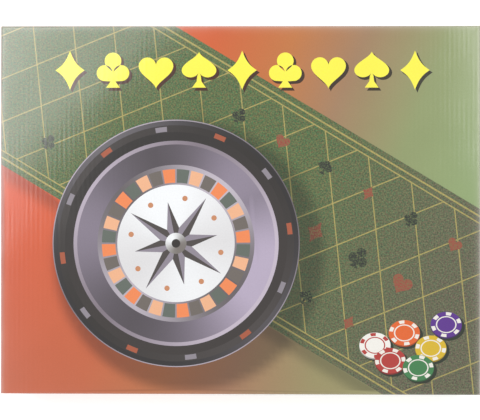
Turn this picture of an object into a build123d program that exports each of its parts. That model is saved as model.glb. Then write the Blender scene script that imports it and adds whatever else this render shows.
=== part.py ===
"""Roulette set case: a glued carton of E-flute board with a hinged, skirted lid, and the set that it holds.

The carton is one printed blank in the hand. Its panels are separate solids here because its creases fold.
Inside, a folded board platform carries the wheel by its lip and the chip rack by its flange, and frames the
rake; the folded playing cloth lies under them all. The case takes its size from what it holds: the wheel sets
its depth, the wheel and the rack beside it its length, and the standing wheel its height.

Frame: +Z up, +Y towards the lid's hinge, +X to the right. The origin is the middle of the underside.
All sizes are in millimetres.
"""

import os
from math import atan2, cos, sin, tan

from build123d import *

os.makedirs("parts", exist_ok=True)

# ---------------------------------------------------------------- carton sizes
board = 1.6  # thickness of the E-flute board
crease_radius = 1.2  # outside radius where the board folds
lid_play = 0.4  # air between the lid's skirts and the tray
lid_skirt_depth = 34.0
lid_tab_length = 26.0
lid_skirt_cutback = 14.0  # the side skirts' lower rear corners are cut away for the swing
tray_tab_length = 48.0
tray_tab_chamfer = 8.0
headroom = 15.1  # from the wheel to the closed lid

# ---------------------------------------------------------------- insert and cloth sizes
insert_gap = 0.5  # play of the insert inside the walls
insert_corner_slit = 4.0
lip_margin_y = 1.6  # deck beyond the wheel's lip, front and back
lip_margin_x = 3.4  # and at the right
column_margin = 5.0  # deck on each side of the rack
finger_notch_radius = 13.0
rack_notch_radius = 11.0
cloth_play = 10.0
cloth_layers = 3
felt = 1.4  # thickness of one layer

# ---------------------------------------------------------------- wheel sizes
wheel_radius = 127.0
wheel_height = 47.5
bead_radius = 108.0
bead_roll = 2.6
bowl_wall = 2.2
lip_drop = 3.0  # thickness of the outer lip
lip_underside = 31.0
lip_overhang = 2.4
hole_play = 0.6
skirt_foot_radius = 101.0
track_radius = 95.5
track_height = 21.5
apron_radius = 71.5
apron_height = 15.0
well_floor = 8.0
boss_radius = 9.0
boss_top = 11.5

deflector_count = 6
deflector_circle = 83.5
deflector_length = 12.0
deflector_width = 7.0
deflector_height = 1.2
deflector_lift = 0.1  # keeps the flat underside clear of the dished apron

spindle_radius = 3.0
spindle_top = 23.6
spindle_flange_radius = 6.5
spindle_flange_thickness = 1.2
fit_gap = 0.02  # pressed and pushed-in pieces
running_gap = 0.05
thrust_gap = 0.1
thrust_washer_radius = 7.0
thrust_washer_thickness = 0.8

# ---------------------------------------------------------------- rotor sizes
pocket_count = 37
rotor_gap = 1.7  # ring of air between the rotor and the bowl's well
rotor_wall = 1.8
rotor_sink = 0.4  # the rotor's rim lies this far below the apron's edge
number_ring_width = 14.3
number_foil = 0.3
number_foil_margin = 0.5
pocket_floor = 10.4
pocket_slope = 0.7  # level run of the pockets' outer slope
pocket_length = 16.0
cone_foot_rise = 1.2
cone_top_radius = 11.0
cone_top = 20.0
boss_room = 1.0
bush_wall = 1.5
fret_thickness = 0.8
fret_height = 2.9
fret_gap = 0.4
ball_radius = 3.5
ball_hole_radius = 3.0
ball_hole_inset = 15.0

# ---------------------------------------------------------------- turret sizes
turret_flange_radius = 10.0
turret_flange_thickness = 1.4
turret_boss_radius = 6.8
turret_boss_height = 5.0
turret_column_radius = 3.6
turret_collar_radius = 5.6
turret_collar_height = 6.4
arm_height = 32.0
arm_count = 4
arm_radius = 1.5
arm_reach = 39.0
arm_knob_radius = 2.6
arm_knob_length = 5.2
finial_neck_radius = 2.8
finial_neck_height = 1.4
finial_knob_radius = 4.6
finial_bevel = 1.6
finial_gap = 0.5  # the finial's top lies this far below the wheel's bead

# ---------------------------------------------------------------- rack, chip and rake sizes
chip_radius = 9.5
chip_thickness = 3.0
chips_per_stack = 12
channel_count = 3
channel_play = 0.2
channel_web = 0.9
stack_play = 0.4
rack_wall = 1.3
rack_flange_width = 1.8
rack_flange_thickness = 1.6
rack_window_play = 0.3
cover_wall = 1.2
cover_headroom = 0.4
cover_rib_depth = 3.0
cover_inset = 0.8

rake_head_width = 72.0
rake_blade_height = 12.0
rake_blade_thickness = 3.0
rake_return = 14.0
rake_handle_width = 8.0
rake_handle_thickness = 5.0
rake_handle_end = 5.6  # width at the hanging end
rake_socket_length = 16.0
rake_socket_wall = 1.8
rake_hole_radius = 1.4
rake_hole_inset = 9.0
rake_window_play = 2.0
window_web = 5.0  # board left around the windows

# ---------------------------------------------------------------- worked out from the above
channel_radius = chip_radius + channel_play
channel_pitch = 2 * channel_radius + channel_web
stack_length = chips_per_stack * chip_thickness
rack_inner_length = 2 * stack_length + stack_play
rack_body_length = rack_inner_length + 2 * rack_wall
rack_body_width = (channel_count - 1) * channel_pitch + 2 * (channel_radius + rack_wall)
rack_length = rack_body_length + 2 * rack_flange_width
rack_width = rack_body_width + 2 * rack_flange_width

insert_half_length = (rack_width + 2 * column_margin + 2 * wheel_radius + lip_margin_x) / 2
insert_half_width = wheel_radius + lip_margin_y
tray_half_length = insert_half_length + insert_gap + 2 * board
half_length = tray_half_length + lid_play + board
half_width = insert_half_width + insert_gap + board + (2 * board + lid_play) / 2
tray_front = -half_width + 2 * board + lid_play

cloth_thickness = cloth_layers * felt
wheel_seat = board + cloth_thickness
wall_top = wheel_seat + wheel_height + headroom
case_height = wall_top + board
deck_top = wheel_seat + lip_underside

insert_y = half_width - board - insert_gap - insert_half_width
skirt_top_radius = wheel_radius - lip_overhang
hole_radius = skirt_top_radius + hole_play
wheel_x = insert_half_length - lip_margin_x - wheel_radius
wheel_origin = Vector(wheel_x, insert_y, wheel_seat)
wheel_axis = Axis(wheel_origin, (0, 0, 1))

rotor_radius = apron_radius - rotor_gap
rotor_rim_top = apron_height - rotor_sink
ring_inner_radius = rotor_radius - number_ring_width
pocket_outer_radius = ring_inner_radius - pocket_slope
pocket_inner_radius = pocket_outer_radius - pocket_length
hub_foot = boss_top + thrust_washer_thickness + thrust_gap
bush_radius = spindle_radius + running_gap + bush_wall

rack_x = -insert_half_length + column_margin + rack_width / 2
rack_y = insert_y + insert_half_width - column_margin - rack_length / 2
rack_top = deck_top + rack_flange_thickness
rake_x = -insert_half_length + window_web + rake_window_play + rake_head_width / 2
rake_front = insert_y - insert_half_width + window_web + rake_window_play
rake_length = rack_y - rack_length / 2 - window_web - rake_window_play - rake_front


def save(part, name):
    """Labels a finished piece and writes it as parts/<name>.step."""
    part.label = name
    export_step(part, f"parts/{name}.step")


def wheel_level(height):
    """A level plane on the wheel's axis, at a height above the wheel's seat."""
    return Plane(origin=wheel_origin + Vector(0, 0, height), z_dir=(0, 0, 1))


def upright_section(origin):
    """The upright plane through a point that profiles are drawn on: across along +X, up along +Z."""
    return Plane(origin=origin, x_dir=(1, 0, 0), z_dir=(0, -1, 0))


def case_level(height):
    """A level plane at a height above the table."""
    return Plane.XY.offset(height)


# ================================================================ tray of the carton
with BuildPart() as floor_panel:
    with BuildSketch():
        with Locations((0, (half_width + tray_front) / 2)):
            Rectangle(2 * tray_half_length, half_width - tray_front)
    extrude(amount=board)
    fillet(floor_panel.faces().sort_by(Axis.Z)[0].edges(), crease_radius)
save(floor_panel.part, "floor_panel")


def end_wall(outer_y, inwards):
    """A front or back wall and the two tabs that it folds round inside the side walls."""
    corner_x = tray_half_length - board
    tab_end_y = outer_y + inwards * tray_tab_length
    with BuildPart() as wall:
        with BuildSketch(case_level(board)):
            with BuildLine():
                Polyline((-corner_x, tab_end_y), (-corner_x, outer_y), (corner_x, outer_y), (corner_x, tab_end_y))
                offset(amount=board, side=Side.LEFT if inwards > 0 else Side.RIGHT, kind=Kind.INTERSECTION)
            make_face()
        extrude(amount=wall_top - board)
        outer_face = wall.faces().filter_by(Axis.Y).sort_by(Axis.Y)[0 if inwards > 0 else -1]
        fillet(outer_face.edges().filter_by(Axis.Z), crease_radius)
        tab_ends = wall.faces().filter_by(Axis.Y).group_by(Axis.Y)[-1 if inwards > 0 else 0]
        chamfer([face.edges().sort_by(Axis.Z)[-1] for face in tab_ends], tray_tab_chamfer)
    return wall.part


save(end_wall(tray_front, 1), "front_wall")
save(end_wall(half_width, -1), "back_wall")

with BuildPart() as left_wall:
    with BuildSketch(case_level(board)):
        with Locations((-tray_half_length, (half_width + tray_front) / 2)):
            Rectangle(board, half_width - tray_front, align=(Align.MIN, Align.CENTER))
    extrude(amount=wall_top - board)
save(left_wall.part, "left_wall")

with BuildPart() as right_wall:
    add(mirror(left_wall.part, about=Plane.YZ))
save(right_wall.part, "right_wall")

# ================================================================ lid of the carton
with BuildPart() as lid_panel:
    with BuildSketch(case_level(wall_top)):
        Rectangle(2 * half_length, 2 * half_width)
    extrude(amount=board)
    fillet(lid_panel.faces().sort_by(Axis.Z)[-1].edges(), crease_radius)
save(lid_panel.part, "lid_panel")

with BuildPart() as lid_front_skirt:
    with BuildSketch(case_level(wall_top)):
        with Locations((0, -half_width)):
            Rectangle(2 * half_length, board, align=(Align.CENTER, Align.MIN))
    extrude(amount=-lid_skirt_depth)
save(lid_front_skirt.part, "lid_front_skirt")

# Each side skirt turns in behind the front skirt, where its tab is glued.
with BuildPart() as lid_left_skirt:
    with BuildSketch(case_level(wall_top)):
        with BuildLine():
            Polyline(
                (-half_length, half_width),
                (-half_length, -half_width + board),
                (-half_length + lid_tab_length, -half_width + board),
            )
            offset(amount=board, side=Side.LEFT, kind=Kind.INTERSECTION)
        make_face()
    extrude(amount=-lid_skirt_depth)
    rear_face = lid_left_skirt.faces().filter_by(Axis.Y).sort_by(Axis.Y)[-1]
    chamfer(rear_face.edges().sort_by(Axis.Z)[0], lid_skirt_cutback)
    tab_face = lid_left_skirt.faces().filter_by(Axis.X).sort_by(Axis.X)[-1]
    chamfer(tab_face.edges().sort_by(Axis.Z)[0], lid_tab_length / 3)
save(lid_left_skirt.part, "lid_left_skirt")

with BuildPart() as lid_right_skirt:
    add(mirror(lid_left_skirt.part, about=Plane.YZ))
save(lid_right_skirt.part, "lid_right_skirt")

# ================================================================ cloth and insert
with BuildPart() as folded_cloth:
    with BuildSketch(case_level(board)):
        with Locations((0, insert_y)):
            Rectangle(
                2 * (insert_half_length - board - cloth_play),
                2 * (insert_half_width - board - cloth_play),
            )
    extrude(amount=cloth_thickness)
    fillet(folded_cloth.edges().filter_by(Axis.X), felt)
save(folded_cloth.part, "folded_cloth")

ball_places = [
    (insert_half_length - ball_hole_inset, insert_y + side * (insert_half_width - ball_hole_inset))
    for side in (-1, 1)
]
with BuildPart() as insert_platform:
    with BuildSketch(case_level(board)):
        with Locations((0, insert_y)):
            Rectangle(2 * insert_half_length, 2 * insert_half_width)
    extrude(amount=deck_top - board)
    fillet(insert_platform.faces().sort_by(Axis.Z)[-1].edges(), crease_radius)
    # Hollow under the deck; the legs fold down separately, so each corner is slit.
    with BuildSketch(case_level(board)):
        with Locations((0, insert_y)):
            Rectangle(2 * (insert_half_length - board), 2 * (insert_half_width - board))
            with GridLocations(2 * insert_half_length, 2 * insert_half_width, 2, 2):
                Rectangle(2 * insert_corner_slit, 2 * insert_corner_slit)
    extrude(amount=deck_top - 2 * board, mode=Mode.SUBTRACT)
    # Windows for the wheel, the rack, the rake and the two balls.
    with BuildSketch(case_level(deck_top)):
        with Locations((wheel_x, insert_y)):
            Circle(hole_radius)
            with PolarLocations(hole_radius, 2, start_angle=-45, angular_range=180):
                Circle(finger_notch_radius)
        with Locations((rack_x, rack_y)):
            Rectangle(rack_body_width + 2 * rack_window_play, rack_body_length + 2 * rack_window_play)
            with Locations((rack_body_width / 2, 0)):
                Circle(rack_notch_radius)
        with Locations((rake_x, rake_front - rake_window_play)):
            Rectangle(
                rake_head_width + 2 * rake_window_play,
                rake_return + rake_blade_thickness + 2 * rake_window_play,
                align=(Align.CENTER, Align.MIN),
            )
            Rectangle(
                rake_handle_width + 2 * rake_socket_wall + 2 * rake_window_play,
                rake_length + 2 * rake_window_play,
                align=(Align.CENTER, Align.MIN),
            )
        with Locations(*ball_places):
            Circle(ball_hole_radius)
    extrude(amount=-board, mode=Mode.SUBTRACT)
save(insert_platform.part, "insert_platform")

# The balls sit in their punched holes, a hair above the holes' edges.
ball_rise = (ball_radius**2 - ball_hole_radius**2) ** 0.5 + fit_gap
with BuildPart() as balls:
    with Locations(*[(x, y, deck_top + ball_rise) for x, y in ball_places]):
        Sphere(ball_radius)
save(balls.part, "balls")

# ================================================================ wheel bowl
bead_inside = bead_radius - bead_roll
bead_outside = bead_radius + bead_roll
bead_foot = wheel_height - bead_roll
bead_flat = bead_roll * 0.4
lip_top = lip_underside + lip_drop
band_slope = atan2(bead_foot - lip_top, wheel_radius - bead_outside)
skirt_slope = atan2(lip_underside, skirt_top_radius - skirt_foot_radius)
track_slope = atan2(bead_foot - track_height, bead_inside - track_radius)
apron_slope = atan2(track_height - apron_height, track_radius - apron_radius)
skirt_wall = bowl_wall / sin(skirt_slope)  # measured level through the sloped wall
track_wall = bowl_wall / sin(track_slope)
band_wall = bowl_wall / cos(band_slope)  # measured upright through the sloped wall
apron_wall = bowl_wall / cos(apron_slope)


def band_under(radius):
    """Height of the underside of the band between the lip and the bead."""
    return lip_top - band_wall + (wheel_radius - radius) * tan(band_slope)


def apron_under(radius):
    """Height of the apron's underside."""
    return apron_height - apron_wall + (radius - apron_radius) * tan(apron_slope)


with BuildPart() as wheel_bowl:
    with BuildSketch(upright_section(wheel_origin)):
        with BuildLine():
            Polyline(
                (bead_radius + bead_flat, wheel_height),
                (bead_outside, bead_foot),
                (wheel_radius, lip_top),
                (wheel_radius, lip_underside),
                (skirt_top_radius, lip_underside),
                (skirt_foot_radius, 0),
                (skirt_foot_radius - skirt_wall, 0),
                (skirt_top_radius - skirt_wall, lip_underside),
                (skirt_top_radius - skirt_wall, band_under(skirt_top_radius - skirt_wall)),
                (bead_inside + track_wall, band_under(bead_inside + track_wall)),
                (track_radius + track_wall, apron_under(track_radius + track_wall)),
                (apron_radius + bowl_wall, apron_under(apron_radius + bowl_wall)),
                (apron_radius + bowl_wall, well_floor - bowl_wall),
                (spindle_radius + fit_gap, well_floor - bowl_wall),
                (spindle_radius + fit_gap, boss_top),
                (boss_radius, boss_top),
                (boss_radius, well_floor),
                (apron_radius, well_floor),
                (apron_radius, apron_height),
                (track_radius, track_height),
                (bead_inside, bead_foot),
                (bead_radius - bead_flat, wheel_height),
                close=True,
            )
        make_face()
    revolve(axis=wheel_axis)
save(wheel_bowl.part, "wheel_bowl")

# Deflectors: flat diamonds glued to the apron.
deflector_rise = apron_height + (deflector_circle - apron_radius) * tan(apron_slope) + deflector_lift
apron_face = Plane(
    origin=wheel_origin + Vector(deflector_circle, 0, deflector_rise),
    x_dir=(cos(apron_slope), 0, sin(apron_slope)),
    z_dir=(-sin(apron_slope), 0, cos(apron_slope)),
)
with BuildPart() as one_deflector:
    with BuildSketch(apron_face):
        with BuildLine():
            Polyline(
                (deflector_width / 2, 0),
                (0, deflector_length / 2),
                (-deflector_width / 2, 0),
                (0, -deflector_length / 2),
                close=True,
            )
        make_face()
    extrude(amount=deflector_height, taper=20)
with BuildPart() as deflectors:
    for i in range(deflector_count):
        add(one_deflector.part.rotate(wheel_axis, 360 / deflector_count * (i + 0.5)))
save(deflectors.part, "deflectors")

with BuildPart() as spindle:
    with BuildSketch(wheel_level(well_floor - bowl_wall)):
        Circle(spindle_flange_radius)
    extrude(amount=-spindle_flange_thickness)
    with BuildSketch(wheel_level(well_floor - bowl_wall)):
        Circle(spindle_radius)
    extrude(amount=spindle_top - well_floor + bowl_wall)
save(spindle.part, "spindle")

with BuildPart() as thrust_washer:
    with BuildSketch(wheel_level(boss_top)):
        Circle(thrust_washer_radius)
        Circle(spindle_radius + running_gap, mode=Mode.SUBTRACT)
    extrude(amount=thrust_washer_thickness)
save(thrust_washer.part, "thrust_washer")

# ================================================================ rotor
rotor_underside = pocket_floor - rotor_wall
with BuildPart() as rotor_disc:
    with BuildSketch(upright_section(wheel_origin)):
        with BuildLine():
            Polyline(
                (rotor_radius, rotor_rim_top),
                (ring_inner_radius, rotor_rim_top),
                (pocket_outer_radius, pocket_floor),
                (pocket_inner_radius, pocket_floor),
                (pocket_inner_radius, pocket_floor + cone_foot_rise),
                (cone_top_radius, cone_top),
                (bush_radius + fit_gap, cone_top),
                (bush_radius + fit_gap, hub_foot),
                (boss_radius + boss_room, hub_foot),
                (boss_radius + boss_room, rotor_underside),
                (ring_inner_radius + rotor_wall, rotor_underside),
                (ring_inner_radius + rotor_wall, rotor_rim_top - rotor_wall),
                (rotor_radius, rotor_rim_top - rotor_wall),
                close=True,
            )
        make_face()
    revolve(axis=wheel_axis)
save(rotor_disc.part, "rotor_disc")

with BuildPart() as rotor_bush:
    with BuildSketch(wheel_level(hub_foot)):
        Circle(bush_radius)
        Circle(spindle_radius + running_gap, mode=Mode.SUBTRACT)
    extrude(amount=cone_top - hub_foot)
save(rotor_bush.part, "rotor_bush")

with BuildPart() as number_ring:
    with BuildSketch(wheel_level(rotor_rim_top)):
        Circle(rotor_radius - number_foil_margin)
        Circle(ring_inner_radius + number_foil_margin, mode=Mode.SUBTRACT)
    extrude(amount=number_foil)
save(number_ring.part, "number_ring")

# Fret ring: a thin hoop that joins the blades between the pockets.
hoop_outer = pocket_outer_radius - fret_gap / 2
hoop_inner = hoop_outer - fret_thickness
blade_inner = pocket_inner_radius + fret_gap
blade_outer = (hoop_inner + hoop_outer) / 2
with BuildPart() as fret_ring:
    with BuildSketch(wheel_level(pocket_floor)):
        Circle(hoop_outer)
        Circle(hoop_inner, mode=Mode.SUBTRACT)
        with PolarLocations((blade_inner + blade_outer) / 2, pocket_count):
            Rectangle(blade_outer - blade_inner, fret_thickness)
    extrude(amount=fret_height)
save(fret_ring.part, "fret_ring")

# ================================================================ turret
boss_head = cone_top + turret_flange_thickness + turret_boss_height
collar_foot = arm_height - turret_collar_height / 2
collar_head = arm_height + turret_collar_height / 2
with BuildPart() as turret_stem:
    with BuildSketch(wheel_level(cone_top)):
        Circle(turret_flange_radius)
    extrude(amount=turret_flange_thickness)
    with BuildSketch(wheel_level(cone_top)):
        Circle(turret_boss_radius)
    extrude(amount=boss_head - cone_top)
    with BuildSketch(wheel_level(boss_head)):
        Circle(turret_column_radius)
    extrude(amount=collar_foot - boss_head)
    with BuildSketch(wheel_level(cone_top)):
        Circle(spindle_radius + running_gap)
    extrude(amount=spindle_top - cone_top + thrust_gap, mode=Mode.SUBTRACT)
save(turret_stem.part, "turret_stem")

# The arms and their hub are one moulding, which stands on the stem's column.
with BuildPart() as turret_arms:
    with BuildSketch(wheel_level(collar_foot)):
        Circle(turret_collar_radius)
    extrude(amount=collar_head - collar_foot)
    with Locations(wheel_level(arm_height)):
        with PolarLocations(0, arm_count, start_angle=45):
            Cylinder(
                arm_radius,
                arm_reach - arm_knob_length,
                rotation=(0, 90, 0),
                align=(Align.CENTER, Align.CENTER, Align.MIN),
            )
        with PolarLocations(arm_reach - arm_knob_length, arm_count, start_angle=45):
            Cylinder(
                arm_knob_radius,
                arm_knob_length,
                rotation=(0, 90, 0),
                align=(Align.CENTER, Align.CENTER, Align.MIN),
            )
save(turret_arms.part, "turret_arms")

finial_top = wheel_height - finial_gap
with BuildPart() as turret_finial:
    with BuildSketch(wheel_level(collar_head)):
        Circle(finial_neck_radius)
    extrude(amount=finial_neck_height)
    with BuildSketch(wheel_level(collar_head + finial_neck_height)):
        Circle(finial_knob_radius)
    extrude(amount=finial_top - collar_head - finial_neck_height)
    chamfer(turret_finial.faces().sort_by(Axis.Z)[-1].edges(), finial_bevel)
save(turret_finial.part, "turret_finial")

# ================================================================ chip rack
channel_places = [((i - (channel_count - 1) / 2) * channel_pitch, 0) for i in range(channel_count)]
rack_section = upright_section((rack_x, rack_y, rack_top))
rack_rim = case_level(rack_top)
with BuildPart() as rack_tray:
    with BuildSketch(rack_section):
        with Locations(*channel_places):
            Circle(channel_radius + rack_wall)
    extrude(amount=rack_body_length / 2, both=True)
    split(bisect_by=rack_rim, keep=Keep.BOTTOM)
    with BuildSketch(rack_rim):
        with Locations((rack_x, rack_y)):
            Rectangle(rack_width, rack_length)
    extrude(amount=-rack_flange_thickness)
    with BuildSketch(rack_section):
        with Locations(*channel_places):
            Circle(channel_radius)
    extrude(amount=rack_inner_length / 2, both=True, mode=Mode.SUBTRACT)
save(rack_tray.part, "rack_tray")

cover_width = rack_width - 2 * cover_inset
cover_length = rack_length - 2 * cover_inset
cover_inside = chip_radius - channel_play + cover_headroom
with BuildPart() as rack_cover:
    with BuildSketch(rack_rim):
        with Locations((rack_x, rack_y)):
            RectangleRounded(cover_width, cover_length, 2 * cover_wall)
    extrude(amount=cover_inside + cover_wall)
    with BuildSketch(rack_rim):
        with Locations((rack_x, rack_y)):
            Rectangle(cover_width - 2 * cover_wall, cover_length - 2 * cover_wall)
    extrude(amount=cover_inside, mode=Mode.SUBTRACT)
    with BuildSketch(case_level(rack_top + cover_inside)):
        with Locations((rack_x, rack_y)):
            with GridLocations(channel_pitch, 1, channel_count - 1, 1):
                Rectangle(cover_wall, cover_length - 2 * cover_wall)
    extrude(amount=-cover_rib_depth)
save(rack_cover.part, "rack_cover")

# Each colour is one roll of chips, which fills half of its channel.
chip_colours = (("purple", "orange"), ("yellow", "white"), ("red", "green"))
for (channel_x, _), colours in zip(channel_places, chip_colours):
    for end, colour in zip((-1, 1), colours):
        roll_middle = Vector(rack_x + channel_x, rack_y + end * stack_length / 2, rack_top - channel_play)
        with BuildPart() as chips:
            with BuildSketch(upright_section(roll_middle)):
                Circle(chip_radius)
            extrude(amount=stack_length / 2 - fit_gap, both=True)
        save(chips.part, f"chips_{colour}")

# ================================================================ rake
blade_back = rake_front + rake_blade_thickness
with BuildPart() as rake_head:
    with BuildSketch(case_level(wheel_seat)):
        with BuildLine():
            FilletPolyline(
                (rake_x - rake_head_width / 2, blade_back + rake_return),
                (rake_x - rake_head_width / 2, rake_front),
                (rake_x + rake_head_width / 2, rake_front),
                (rake_x + rake_head_width / 2, blade_back + rake_return),
                radius=rake_blade_thickness * 1.3,
            )
            offset(amount=rake_blade_thickness, side=Side.LEFT)
        make_face()
    extrude(amount=rake_blade_height)
    # The socket straddles the handle, so that head and handle lie on one plane.
    with BuildSketch(case_level(wheel_seat)):
        with Locations((rake_x, blade_back)):
            Rectangle(
                rake_handle_width + 2 * rake_socket_wall,
                rake_socket_length,
                align=(Align.CENTER, Align.MIN),
            )
    extrude(amount=rake_handle_thickness + rake_socket_wall)
    with BuildSketch(case_level(wheel_seat)):
        with Locations((rake_x, blade_back)):
            Rectangle(
                rake_handle_width + 2 * fit_gap,
                rake_socket_length,
                align=(Align.CENTER, Align.MIN),
            )
    extrude(amount=rake_handle_thickness + fit_gap, mode=Mode.SUBTRACT)
save(rake_head.part, "rake_head")

handle_tip = rake_front + rake_length
with BuildPart() as rake_handle:
    with BuildSketch(case_level(wheel_seat)):
        with BuildLine():
            Polyline(
                (rake_x - rake_handle_end / 2, handle_tip),
                (rake_x - rake_handle_width / 2, blade_back + rake_socket_length),
                (rake_x - rake_handle_width / 2, blade_back + fit_gap),
                (rake_x + rake_handle_width / 2, blade_back + fit_gap),
                (rake_x + rake_handle_width / 2, blade_back + rake_socket_length),
                (rake_x + rake_handle_end / 2, handle_tip),
                close=True,
            )
        make_face()
        with Locations((rake_x, handle_tip - rake_hole_inset)):
            Circle(rake_hole_radius, mode=Mode.SUBTRACT)
    extrude(amount=rake_handle_thickness)
    tip_face = rake_handle.faces().filter_by(Axis.Y).sort_by(Axis.Y)[-1]
    fillet(tip_face.edges().filter_by(Axis.Z), rake_handle_end * 0.3)
save(rake_handle.part, "rake_handle")
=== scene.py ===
"""Dresses the roulette set case: a printed, varnished carton of E-flute board and the set inside it."""

from functools import partialmethod, reduce
from itertools import cycle
from math import pi

import bmesh
import bpy
import numpy as np
from bpy.props import FloatProperty, FloatVectorProperty, IntProperty, PointerProperty
from mathutils import Matrix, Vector
from mathutils.geometry import delaunay_2d_cdt


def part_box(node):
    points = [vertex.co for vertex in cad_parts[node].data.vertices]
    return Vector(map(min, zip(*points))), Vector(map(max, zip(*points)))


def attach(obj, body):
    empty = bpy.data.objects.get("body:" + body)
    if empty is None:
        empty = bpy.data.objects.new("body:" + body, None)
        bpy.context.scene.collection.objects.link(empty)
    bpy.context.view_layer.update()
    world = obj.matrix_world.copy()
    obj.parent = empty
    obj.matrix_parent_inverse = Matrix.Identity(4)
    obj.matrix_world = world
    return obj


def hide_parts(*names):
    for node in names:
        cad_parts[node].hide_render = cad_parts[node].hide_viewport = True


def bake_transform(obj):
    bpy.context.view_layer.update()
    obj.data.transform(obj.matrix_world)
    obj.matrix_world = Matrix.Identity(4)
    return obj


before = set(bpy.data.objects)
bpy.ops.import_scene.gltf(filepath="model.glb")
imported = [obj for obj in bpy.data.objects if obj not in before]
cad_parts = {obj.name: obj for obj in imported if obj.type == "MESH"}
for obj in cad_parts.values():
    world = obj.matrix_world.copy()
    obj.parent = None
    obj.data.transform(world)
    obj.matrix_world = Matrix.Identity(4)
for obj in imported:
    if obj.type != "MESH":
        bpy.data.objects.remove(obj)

bl_info = {
    "name": "Roulette Set Case",
    "version": (1, 0, 0),
    "blender": (4, 5, 0),
    "location": "View3D > Sidebar > Case",
    "description": "Makes the printed carton, its insert and the roulette set that it holds",
    "category": "Object",
}

MM = 0.001


def box(name):
    """The low and the high corner of a CAD node, in millimetres."""
    return [np.array(corner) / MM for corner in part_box(name)]


(*_, WALL_TOP), (HALF_LENGTH, HALF_WIDTH, TOP) = box("lid_panel")
BOARD = TOP - WALL_TOP  # the board's thickness
(_, FRONT, _), (WALL_END, *_) = box("front_wall")
TAB_FACE = WALL_END - BOARD  # the inner face of the tabs that the front and back walls fold in
DECK_END, _, DECK = box("insert_platform")[1]
BOWL_LOW, BOWL_HIGH = box("wheel_bowl")
WHEEL = np.array([*(BOWL_LOW + BOWL_HIGH)[:2] / 2, BOWL_LOW[2]])  # the wheel's axis on its seat
LOOSE_COUNTERS = (  # the lid's picture of them: x, y, colour and mark
    (118, -88, "#E2662A", "#EFEBE2"), (97, -97, "#F2EFE8", "#B33A34"), (137, -99, "#D9B62B", "#EFEBE2"),
    (108, -108, "#B33A34", "#EFEBE2"), (128, -113, "#3F7F4C", "#EFEBE2"), (148, -82, "#5B2F8C", "#EFEBE2"),
)
WHEEL_ORDER = (0, 32, 15, 19, 4, 21, 2, 25, 17, 34, 6, 27, 13, 36, 11, 30, 8, 23, 10, 5, 24, 16, 33, 1, 20, 14,
               31, 9, 22, 18, 29, 7, 28, 12, 35, 3, 26)
RED_NUMBERS = (1, 3, 5, 7, 9, 12, 14, 16, 18, 19, 21, 23, 25, 27, 30, 32, 34, 36)
LIFT, PAPER = 0.06, 0.05  # how far the print's face lies over the board, and its thickness
MEDAL_POINTS = 120  # on each outline of the medallion's rings, and on no other motif's


# ---------------------------------------------------------------- colours and nodes
def rgb(hex_colour):
    """The linear red, green and blue of an sRGB hex value."""
    s = np.array([int(hex_colour[i : i + 2], 16) for i in (1, 3, 5)]) / 255
    return np.where(s <= 0.04045, s / 12.92, ((s + 0.055) / 1.055) ** 2.4)


def linear(colour):
    """A hex value, or a setting that is already linear, with an alpha of 1, as a colour socket takes it."""
    return (*(rgb(colour) if isinstance(colour, str) else colour), 1.0)


class Field:
    """A value at each point of a surface, which a node gives. Its arithmetic adds Math nodes.

    The larger of two fields is a | b and the smaller a & b, and a comparison gives 1 where it holds and 0 elsewhere.
    """

    __array_ufunc__ = None  # a NumPy number on the left leaves the arithmetic to the field

    def __init__(self, tree, socket):
        self.tree, self.socket = tree, socket

    def math(self, operation, *others):
        return self.tree("Math", self, *others, operation=operation)

    def __rsub__(self, other):
        return self.tree("Math", other, self, operation="SUBTRACT")

    __add__ = __radd__ = partialmethod(math, "ADD")
    __sub__ = partialmethod(math, "SUBTRACT")
    __mul__ = __rmul__ = partialmethod(math, "MULTIPLY")
    __truediv__ = partialmethod(math, "DIVIDE")
    __pow__ = partialmethod(math, "POWER")
    __or__ = partialmethod(math, "MAXIMUM")
    __and__ = partialmethod(math, "MINIMUM")
    __lt__ = partialmethod(math, "LESS_THAN")
    __gt__ = partialmethod(math, "GREATER_THAN")
    __abs__ = partialmethod(math, "ABSOLUTE")


class Tree:
    """The nodes of a material or of the world."""

    def __init__(self, owner):
        owner.use_nodes = True
        self.owner, self.nodes, self.links = owner, owner.node_tree.nodes, owner.node_tree.links
        self.nodes.clear()

    def __call__(self, kind, *values, out=(), stops=(), **named):
        """Adds a node and gives its first output, or the ones that out names.

        values feed its inputs in their order, and named values the inputs of those names. A name in lower case is
        one of the node's settings, and a Mix node mixes colours. stops are a colour ramp's (place, colour).
        """
        made = self.nodes.new("ShaderNode" + kind)
        if kind == "Mix":
            made.data_type = "RGBA"
        for name in filter(str.islower, named):
            setattr(made, name, named[name])
        inputs = {socket.identifier.replace(" ", "_"): socket for socket in made.inputs if socket.enabled}
        for name, value in [*zip(inputs, values), *named.items()]:
            if name.islower():
                continue
            if isinstance(value, Field):
                self.links.new(value.socket, inputs[name])
            else:
                inputs[name].default_value = linear(value) if inputs[name].type == "RGBA" else value
        if stops:
            ramp = made.color_ramp.elements
            while len(ramp) < len(stops):
                ramp.new(0.5)
            for element, (place, colour) in zip(ramp, stops):
                element.position, element.color = place, linear(colour)
        outputs = {socket.identifier: Field(self, socket) for socket in made.outputs if socket.enabled}
        if out:
            return outputs[out] if isinstance(out, str) else [outputs[name] for name in out]
        return next(iter(outputs.values()), None)


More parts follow.
